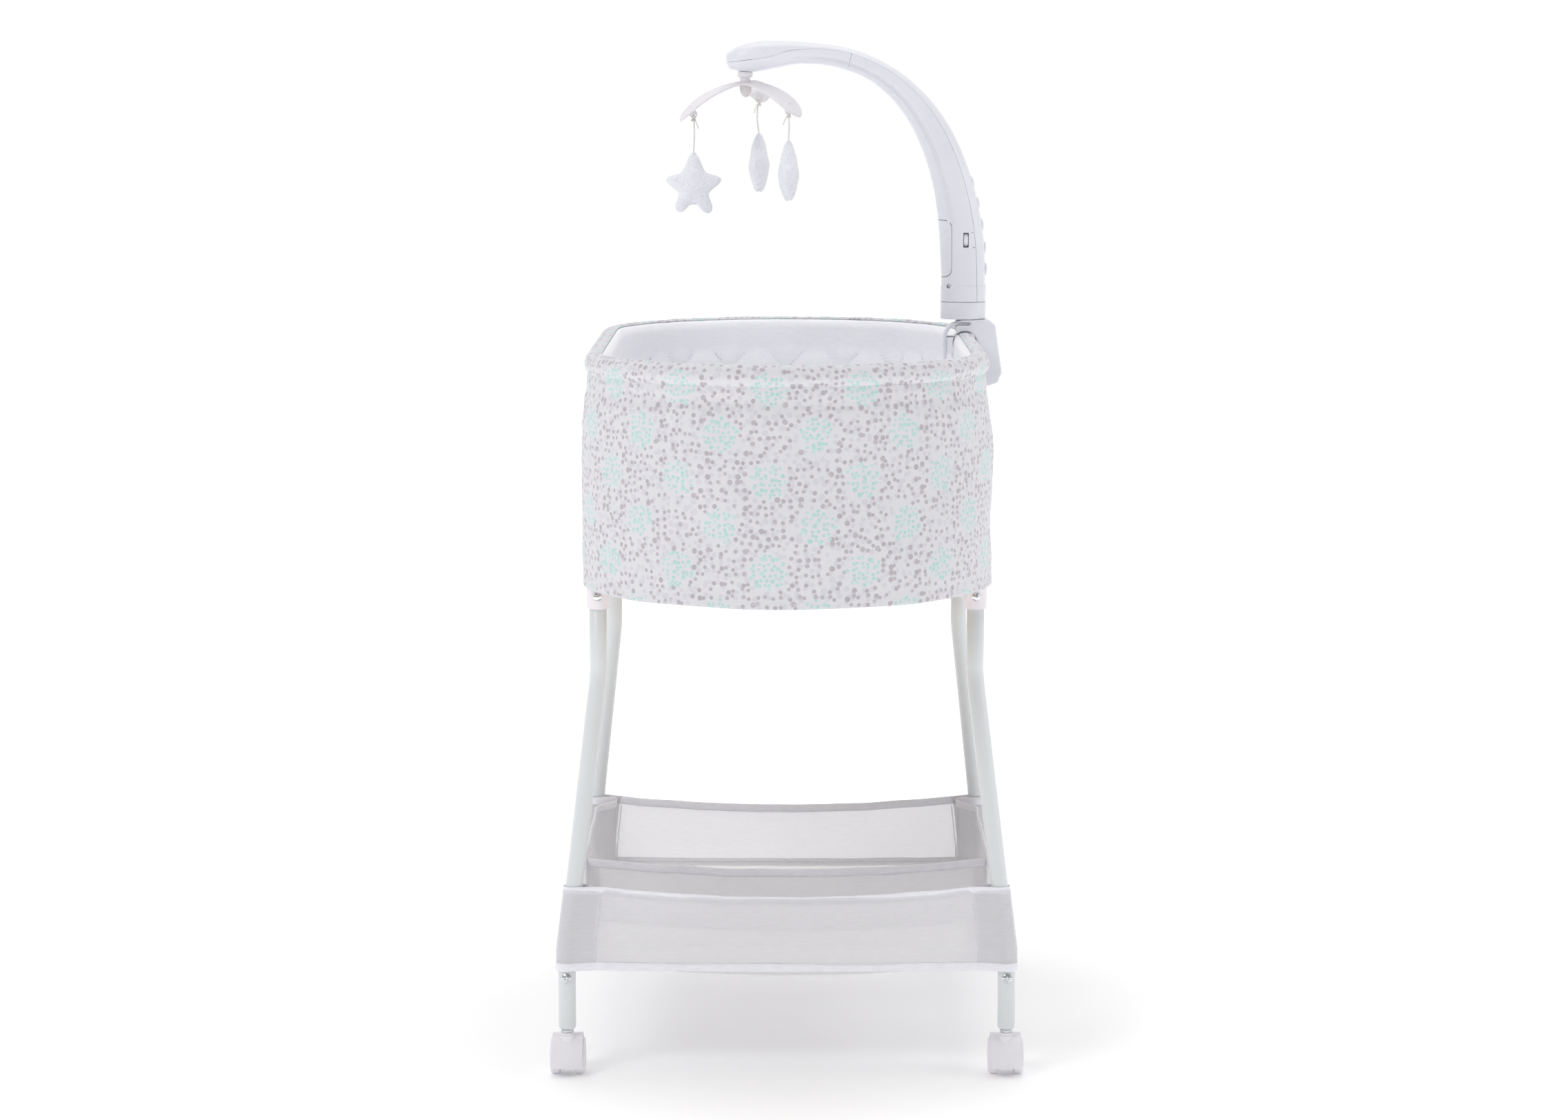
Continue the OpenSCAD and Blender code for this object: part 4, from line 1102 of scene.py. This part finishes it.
def arm_grow(t, az):
    """Two soft grooves along the arm's sides, and the lip that the cuff at its foot stands out by."""
    side = max(exp(-((az - groove) / 9) ** 2) for groove in GROOVES)
    grow = -0.0027 * side * smoothstep(0.10, 0.2, t) * (1 - smoothstep(0.74, 0.84, t))
    if t < 0.3:
        z = arm_line(t).z
        over_lip = smoothstep(LIP_Z - 0.0003, LIP_Z + 0.0003, z)
        grow -= 0.0008 * over_lip * (1 - smoothstep(LIP_Z, LIP_Z + 0.045, z))
    return grow


def seam_az(t):
    """The angle of the seam between the two shells: it swings to the head's middle."""
    return SEAM_AZ + 35 * smoothstep(0.70, 0.90, t)


def arm_shell(name, t0, t1, outer, steps, sides):
    """The outer or the inner part of the arm's shell, rounded over the tip if it reaches it."""
    ts = [t0 + (t1 - t0) * k / steps for k in range(steps + 1)]
    if t0 == 0:
        ts = sorted(ts + [arm_share(LIP_Z + 0.00015 * k) for k in (-6, -4, -2, -1, 0, 1, 2, 4, 6)])
    rows = []
    for t in ts:
        edge = seam_az(t) - 0.6 if outer else seam_az(t) + 0.6
        az0, az1 = (-edge, edge) if outer else (edge, 360 - edge)
        turns = [az0 + (az1 - az0) * i / sides for i in range(sides + 1)]
        rows.append([arm_skin(t, az, arm_grow(t, az)) for az in turns])
    if t1 >= 1:
        tip, ahead = arm_line(1), (arm_line(1) - arm_line(0.99)).normalized()
        last = rows[-1]
        for k in range(1, 7):
            a = pi / 2 * k / 6
            rows.append([tip + (p - tip) * max(0.03, cos(a)) + ahead * (0.0042 * sin(a)) for p in last])
    obj = grid(name, rows)
    thicken(obj, SHELL_T, 1.0 if not outward_facing(obj) else -1.0)
    return applied(obj)


def outward_facing(obj):
    """Whether the first face's normal points away from the arm's line."""
    face = obj.data.polygons[0]
    return face.normal.dot(face.center - arm_line(0.5 if obj.name == "head_shell" else 0.0)) > 0


def turned_out(obj):
    """Makes every face of a closed mesh look outwards."""
    mesh = bmesh.new()
    mesh.from_mesh(obj.data)
    bmesh.ops.recalc_face_normals(mesh, faces=mesh.faces)
    mesh.to_mesh(obj.data)
    mesh.free()
    return obj


def cut(obj, cutter, operation="DIFFERENCE"):
    """Cuts one closed mesh by another, which goes."""
    modifier(turned_out(obj), "BOOLEAN", "cut", operation=operation, object=turned_out(cutter),
             solver="EXACT")
    applied(obj)
    bpy.data.objects.remove(cutter)
    return obj


def rod_cutter(at, axis, radius, length):
    """A round rod with its middle at a point."""
    return place(lathe("cutter", [(radius, -length / 2), (radius, length / 2)], 40), at, axis)


def box_cutter(x, y, z, corner=0.0):
    """A box along Y; its two edges at the larger X may be rounded."""
    turns = np.linspace(0, pi / 2, 9 if corner else 1)
    outline = [(x[0], z[0])]
    outline += [(x[1] - corner + corner * sin(a), z[0] + corner - corner * cos(a)) for a in turns]
    outline += [(x[1] - corner + corner * cos(a), z[1] - corner + corner * sin(a)) for a in turns]
    outline.append((x[0], z[1]))
    rows = [[(px, py, pz) for px, pz in outline] for py in y]
    return grid("cutter", rows, close_u=True, cap=True)


def button_place(i):
    """A button's own line: a point on the arm's outer face and the way it points."""
    joint = JOINTS[f"key_press_{i}"]
    low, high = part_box(f"button_{i}")
    way = -Vector(joint["axis"])
    return (low + high) / 2, way.normalized()


def crisp(obj, body, node, width=0.0004):
    """Rounds a shell's cut edges and finishes it."""
    soften(obj, width, 2, 50)
    modifier(obj, "WEIGHTED_NORMAL", "shading", keep_sharp=False, weight=60)
    finished(obj, SHELL, body, [node])


def span(centre, half):
    """The two ends of a stretch, that far each way from its middle."""
    return centre - half, centre + half


outer_shell = arm_shell("outer_shell", 0.0, 1.0, True, 130, 28)
inner_shell = arm_shell("inner_shell", 0.0, SEAM_SHARE - 0.0010, False, 100, 76)
head_shell = arm_shell("head_shell", SEAM_SHARE + 0.0010, 1.0, False, 46, 60)
for i in range(1, 6):
    at, way = button_place(i)
    cut(outer_shell, rod_cutter(at, way, 0.0079, 0.030))
cut(inner_shell, box_cutter(span(WHEEL.x, 0.0031), (ARM.y - 0.030, ARM.y - 0.013), span(WHEEL.z, 0.0085)))
door = inner_shell.copy()
door.data = inner_shell.data.copy()
door.name = "door"
scene.collection.objects.link(door)
DOOR_X, DOOR_Z, DOOR_HALF, DOOR_CORNER = ARM.x - 0.0145, 0.882, 0.033, 0.009
for shell, gap, reach, operation in ((inner_shell, 1, 0.030, "DIFFERENCE"), (door, -1, 0.031, "INTERSECT")):
    outline = box_cutter((0.15, DOOR_X + gap * 0.0002), span(ARM.y, reach),
                         span(DOOR_Z, DOOR_HALF + gap * 0.0003), DOOR_CORNER)
    cut(shell, outline, operation)
recess = arm_skin(arm_share(0.8387), 128)
cut(inner_shell, rod_cutter(recess, (0.6, 0.8, 0), 0.0026, 0.0030))
cut(head_shell, rod_cutter((HUB.x, HUB.y, HUB.z + 0.012), (0, 0, 1), 0.0034, 0.024))
HEAD_SCREW = 0.72
cut(head_shell, rod_cutter(arm_skin(HEAD_SCREW, 180) + Vector((0, 0, 0.0004)), (0.3, 0, -1), 0.0022, 0.0030))
crisp(outer_shell, "arm", "arm_outer_shell")
crisp(inner_shell, "arm", "arm_inner_shell")
crisp(head_shell, "arm", "head_cover")
crisp(door, "door", "battery_door", 0.0003)


def phillips(name, at, way, radius):
    """A sunk cross-recessed screw of the arm."""
    profile = [(0.0001, 0.0), (radius * 0.9, 0.0), (radius, -0.0003), (radius, -0.0020), (0.0001, -0.0020)]
    head = lathe("head", profile, 32)
    for turn in (0, pi / 2):
        bar = box_cutter(span(0, radius * 0.6), span(0, radius * 0.12), (-0.0009, 0.001))
        bar.data.transform(Matrix.Rotation(turn, 4, "Z"))
        cut(head, bar)
    head.name = name
    return finished(place(head, at, way), ZINC, "arm")


recess_way = Vector((-0.62, -0.78, 0)).normalized()
phillips("door_screw", recess - recess_way * 0.0008, recess_way, 0.0022)
phillips("head_screw", arm_skin(HEAD_SCREW, 180) + Vector((0, 0, 0.0012)), Vector((-0.2, 0, -1)), 0.0019)

collar_rows = []
for z, grow in ((COLLAR_Z, -0.0012), (COLLAR_Z + 0.0003, -0.0005), (COLLAR_Z + 0.0011, 0.0),
                (COLLAR_Z + 0.009, 0.0), (ARM_Z - 0.0015, 0.0), (ARM_Z - 0.0007, -0.0004),
                (ARM_Z - 0.0004, -0.0011)):
    ring = [arm_skin(0, 360 * i / 96, grow) for i in range(96)]
    collar_rows.append([Vector((p.x, p.y, z)) for p in ring])
finished(grid("collar", collar_rows, close_u=True, cap=True), SHELL, "arm", ["arm_collar"])


def thumb_wheel():
    """The knurled volume wheel."""
    half = [(0.0018, 0.0088, -0.00045), (0.0024, 0.0082, -0.0001), (0.0025, 0.0072, -0.0001)]
    profile = [(-x, r, notch) for x, r, notch in reversed(half)] + half
    rows = [[WHEEL + Vector((p.z, p.x, p.y)) for p in row] for row in toothed_rows(profile, 36)]
    return grid("thumb_wheel", rows, close_u=True, cap=True)


finished(thumb_wheel(), KEY, "volume", ["volume_wheel"])


def marks():
    """A minus and a plus beside the volume slot."""
    bars = []
    for z, plus in ((WHEEL.z + 0.0085, False), (WHEEL.z - 0.0085, True)):
        p = arm_skin(arm_share(z), 66)
        for half_x, half_z in [(0.0010, 0.00022)] + ([(0.00022, 0.0010)] if plus else []):
            rows = [[(p.x + sx * half_x, p.y - lift + sx * half_x * 0.35, z + sz * half_z)
                     for sx, sz in ((-1, -1), (1, -1), (1, 1), (-1, 1))] for lift in (-0.0004, 0.0001)]
            bars.append(grid("bar", rows, close_u=True, cap=True))
    return join("volume_marks", *bars)


finished(marks(), INK, "arm")
for i in range(1, 6):
    rounded(f"button_{i}", KEY, f"key_{i}", 0.0005, 3)
moulded("clamp_housing", SHELL, "stand", 0.0010, 22)
rounded("clamp_hook", SHELL, "stand", 0.0008, 3)
rounded("clamp_pad", RUBBER, "stand", 0.0008, 2)

# ---------- spinner ----------

SPIN = Matrix.Translation(HUB) @ Matrix.Rotation(radians(-4), 4, "Y") @ Matrix.Rotation(radians(8), 4, "X")
BLADE_AZ, BLADE_LEN, DOME_R, BLADE_T = (197.5, 77.5, -42.5), 0.082, 0.114, 0.0024
BLADE_HALF = [(0, 0.0085), (0.15, 0.0090), (0.3, 0.0108), (0.5, 0.0134), (0.65, 0.0145), (0.8, 0.0140),
              (0.9, 0.0115), (0.96, 0.0080), (0.99, 0.0042), (1, 0.0002)]


def dome_drop(x, y):
    """How far the dome that the blades lie on has dropped at (x, y)."""
    return DOME_R - (DOME_R ** 2 - x * x - y * y) ** 0.5


def blade(az):
    """A spoon-shaped blade on the dome, with a fine raised line inside its edge."""
    turn = Matrix.Rotation(radians(az), 4, "Z")
    half_across = (0.3, 0.6, 0.76, 0.80, 0.86, 0.94, 0.985, 1)
    across = [-e for e in reversed(half_across)] + [0, *half_across]
    tops, lows = [], []
    for k in range(61):
        s = 1 - (1 - k / 60) ** 1.6
        half = smooth_lookup(s, BLADE_HALF, min(0.02, 1 - s, s))
        top, low = [], []
        for e in across:
            x, y = BLADE_LEN * s, half * e
            edge = 0.0007 * max(0.0, (abs(e) - 0.94) / 0.06) ** 2
            inside = half * (1 - abs(e))
            line = 0.00045 * exp(-((inside - 0.0022) / 0.0005) ** 2)
            line *= smoothstep(0.12, 0.2, s) * (1 - smoothstep(0.94, 0.975, s))
            z = -dome_drop(x, y) - 0.0008 * (1 - (y / 0.0125) ** 2) * smoothstep(0.15, 0.4, s)
            top.append(Vector((x, y, z + line - edge)))
            low.append(Vector((x, y, z - BLADE_T + edge)))
        tops.append(top)
        lows.append(low)
    rows = [top + low[::-1] for top, low in zip(tops, lows)]
    made = grid("blade", rows, close_u=True, cap=True)
    made.data.transform(SPIN @ turn)
    return made


def ribbed_nut():
    """A smoky domed cap nut with twelve soft ribs."""
    rows = []
    for r, z in ((0.0052, -0.0020), (0.0064, -0.0028), (0.0066, -0.0045), (0.0065, -0.0110),
                 (0.0060, -0.0138), (0.0048, -0.0162), (0.0030, -0.0177), (0.0010, -0.0184)):
        rib = 0.0004 if -0.0125 < z < -0.003 else 0.0001
        reaches = [(r + rib * cos(12 * a), a) for a in ring_turns(144)]
        rows.append([(reach * cos(a), reach * sin(a), z) for reach, a in reaches])
    made = grid("spinner_nut", rows, close_u=True, cap=True)
    subdivide(made)
    made.data.transform(SPIN)
    return made


hub_parts = [blade(az) for az in BLADE_AZ]
DOME = [(0.0001, 0.0004), (0.0070, 0.0003), (0.0105, -0.0002), (0.0112, -0.0010), (0.0106, -0.0030),
        (0.0001, -0.0032)]
NECK = [(0.0050, -0.0020), (0.0058, -0.0015), (0.0058, 0.0040), (0.0060, 0.0046), (0.0085, 0.0050),
        (0.0088, 0.0054), (0.0088, 0.0106), (0.0085, 0.0110), (0.0022, 0.0110), (0.0020, 0.0114),
        (0.0020, 0.0210)]
HOOK = [(0.0002, -0.0028), (0.0011, -0.00258), (0.0020, -0.0020), (0.0026, -0.0011), (0.0028, 0.0),
        (0.0026, 0.0011), (0.0022, 0.0018), (0.0024, 0.0040), (0.0030, 0.0062), (0.0034, 0.0068)]
hub_parts.append(lathe("dome", DOME))
hub_parts[-1].data.transform(SPIN)
hub_parts.append(place(lathe("neck", NECK), HUB))
for i in (1, 2, 3):
    hub_parts.append(place(lathe("hook", HOOK, 32), Vector(JOINTS[f"string_swing_{i}"]["pos_m"])))
plate = join("spinner_plate", *hub_parts)
soften(plate, 0.0003, 2, 50)
finished(plate, PALE, "spinner_body", ["spinner"])
finished(ribbed_nut(), SMOKE, "spinner_body")

# ---------- stuffed stars ----------

STAR_DROP, STAR_THICK, STAR_CORE = 0.0383, 0.0125, 0.0202
STAR_TURNS = (4, 84, 97)
STAR_SIDES, STAR_RINGS, STITCH_SHARE, STAR_STITCHES = 120, 15, 0.972, 150
# Each leg of the star: its angle from straight up, its length, how wide its sides open and its bluntness
STAR_LEGS = [(0, 0.0396, 19, 1.5), (78, 0.0340, 17, 1.7), (149, 0.0378, 17, 3.0), (212, 0.0366, 17, 3.0),
             (282, 0.0340, 17, 1.7)]


def star_reach(angle):
    """The star's outline: round lobes joined by soft valleys."""
    reach = STAR_CORE + 0.0026 * exp(-((angle % 360 - 180) / 20) ** 2)
    for az, length, spread, blunt in STAR_LEGS:
        off = (angle - az + 180) % 360 - 180
        reach = max(reach, STAR_CORE + (length - STAR_CORE) * exp(-(abs(off) / spread) ** blunt))
    return reach


def star_edge(angle):
    """The outline with its tips and valleys rounded off."""
    return sum(star_reach(angle + 1.5 * k) for k in range(-3, 4)) / 7


def star_point(angle, share=1.0):
    """The (x, z) at a share of the way from the star's middle out to its edge."""
    r = star_edge(angle) * share
    return r * sin(radians(angle)), r * cos(radians(angle))


def star_rows(i):
    """Two puffed faces that meet at a seam, from the middle of one to the middle of the other."""
    rows = []
    for j in range(2 * STAR_RINGS + 1):
        face = 1 if j < STAR_RINGS else -1
        share = max(0.004, 1 - abs(j - STAR_RINGS) / STAR_RINGS) ** 0.75
        # The legs run out almost straight to a blunt tip, and the body between them is rounder
        body = (1 - share ** 2.3) ** 0.55
        leg = 0.72 * (1 - share ** 1.4) ** 0.9 + 0.28 * (1 - share ** 8) ** 0.5
        row = []
        for k in range(STAR_SIDES):
            angle = 360 * k / STAR_SIDES
            x, z = star_point(angle, share)
            in_leg = smoothstep(STAR_CORE, STAR_CORE + 0.012, star_edge(angle))
            depth = STAR_THICK * (body + (leg - body) * in_leg)
            depth *= 0.90 + 0.10 * (1 - share) - 0.06 * (1 - in_leg) * share
            pucker = 0.0009 * noise.noise(Vector((angle / 7.0, i * 3.1 + face, share * 1.2))) * share ** 4
            dents = 0.0011 * bumps(z, x, 0.016, i * 5.0 + face)
            row.append(Vector((x, -face * (depth + pucker + dents * (1 - share ** 3)), z)))
        rows.append(row)
    return rows


def star_seam(i, to_world):
    """Small whip stitches round the star's seam."""
    places = []
    turned = to_world.to_3x3()
    for k in range(STAR_STITCHES):
        angle = 360 * k / STAR_STITCHES
        # The puffed cloth draws its edge in, and the stitches sit on it
        (x1, z1), (x0, z0) = (star_point(a, STITCH_SHARE) for a in (angle + 1.2, angle))
        along = Vector((x1 - x0, 0, z1 - z0)).normalized()
        inward = Vector((-along.z, 0, along.x))
        places.append((to_world @ Vector((x0, 0, z0)), turned @ Vector((0, 1, 0)), turned @ inward))
    return stitch_row(f"star_seam_{i}", places, 0.0022, 0.0005, 0.0004)


for i, turn in zip((1, 2, 3), STAR_TURNS):
    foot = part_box(f"string_{i}")[0].z
    hook = Vector(JOINTS[f"star_twist_{i}"]["pos_m"])
    to_world = Matrix.Translation((hook.x, hook.y, foot - STAR_DROP)) @ Matrix.Rotation(radians(turn), 4, "Z")
    toy = grid(f"stuffed_star_{i}", star_rows(i), close_u=True, cap=True)
    swell(toy, 0.0018, 0.0024, lambda p: 1 - smoothstep(0.0, 0.004, abs(p.y)))
    toy.data.transform(to_world)
    subdivide(toy)
    finished(toy, PLUSH, f"toy_{i}", [f"star_{i}"])
    finished(star_seam(i, to_world), THREAD, f"toy_{i}")

# ---------- studio ----------

FLOOR_HALF = 30
floor = link("floor", [(x * FLOOR_HALF, y * FLOOR_HALF, 0) for x, y in ((-1, -1), (1, -1), (1, 1), (-1, 1))],
             [(0, 1, 2, 3)])
# The floor glows: painted light rising from 0.12 near the middle to 0.55 beyond 1.1 m, so the far floor is
# white and the dimmer middle stands in for shade
glowing_paper = Nodes("glowing_studio_paper", (0.94, 0.94, 0.945), 0.9, Emission_Color=(1, 1, 1, 1))
away = glowing_paper.add("VectorMath", {0: glowing_paper.place()}, out=1, operation="LENGTH")
glowing_paper.set("Emission Strength", glowing_paper.spread(away, 0.3, 1.1, 0.12, 0.55))
floor.data.materials.append(glowing_paper.material)

world = bpy.data.worlds.new("studio")
scene.world = world
world.use_nodes = True
tree = world.node_tree
way = tree.nodes.new("ShaderNodeTexCoord")
split = tree.nodes.new("ShaderNodeSeparateXYZ")
glow = tree.nodes.new("ShaderNodeMapRange")
for socket, value in (("From Min", -0.6), ("From Max", 0.85), ("To Min", 0.38), ("To Max", 1.03)):
    glow.inputs[socket].default_value = value
tree.links.new(way.outputs["Generated"], split.inputs[0])
tree.links.new(split.outputs["Y"], glow.inputs["Value"])
tree.links.new(glow.outputs["Result"], tree.nodes["Background"].inputs["Strength"])
tree.nodes["Background"].inputs["Color"].default_value = (0.99, 0.99, 1.0, 1)
for name, at, size, power in (("key", (-2.2, -3.0, 3.2), 1.6, 46), ("side", (3.0, -1.0, 1.6), 1.6, 12),
                              ("top", (0.0, 0.3, 4.0), 3.0, 42)):
    lamp = bpy.data.objects.new(name, bpy.data.lights.new(name, "AREA"))
    lamp.data.size, lamp.data.energy = size, power
    lamp.location = at
    lamp.rotation_euler = (Vector((0, 0, 0.6)) - Vector(at)).to_track_quat("-Z", "Y").to_euler()
    scene.collection.objects.link(lamp)
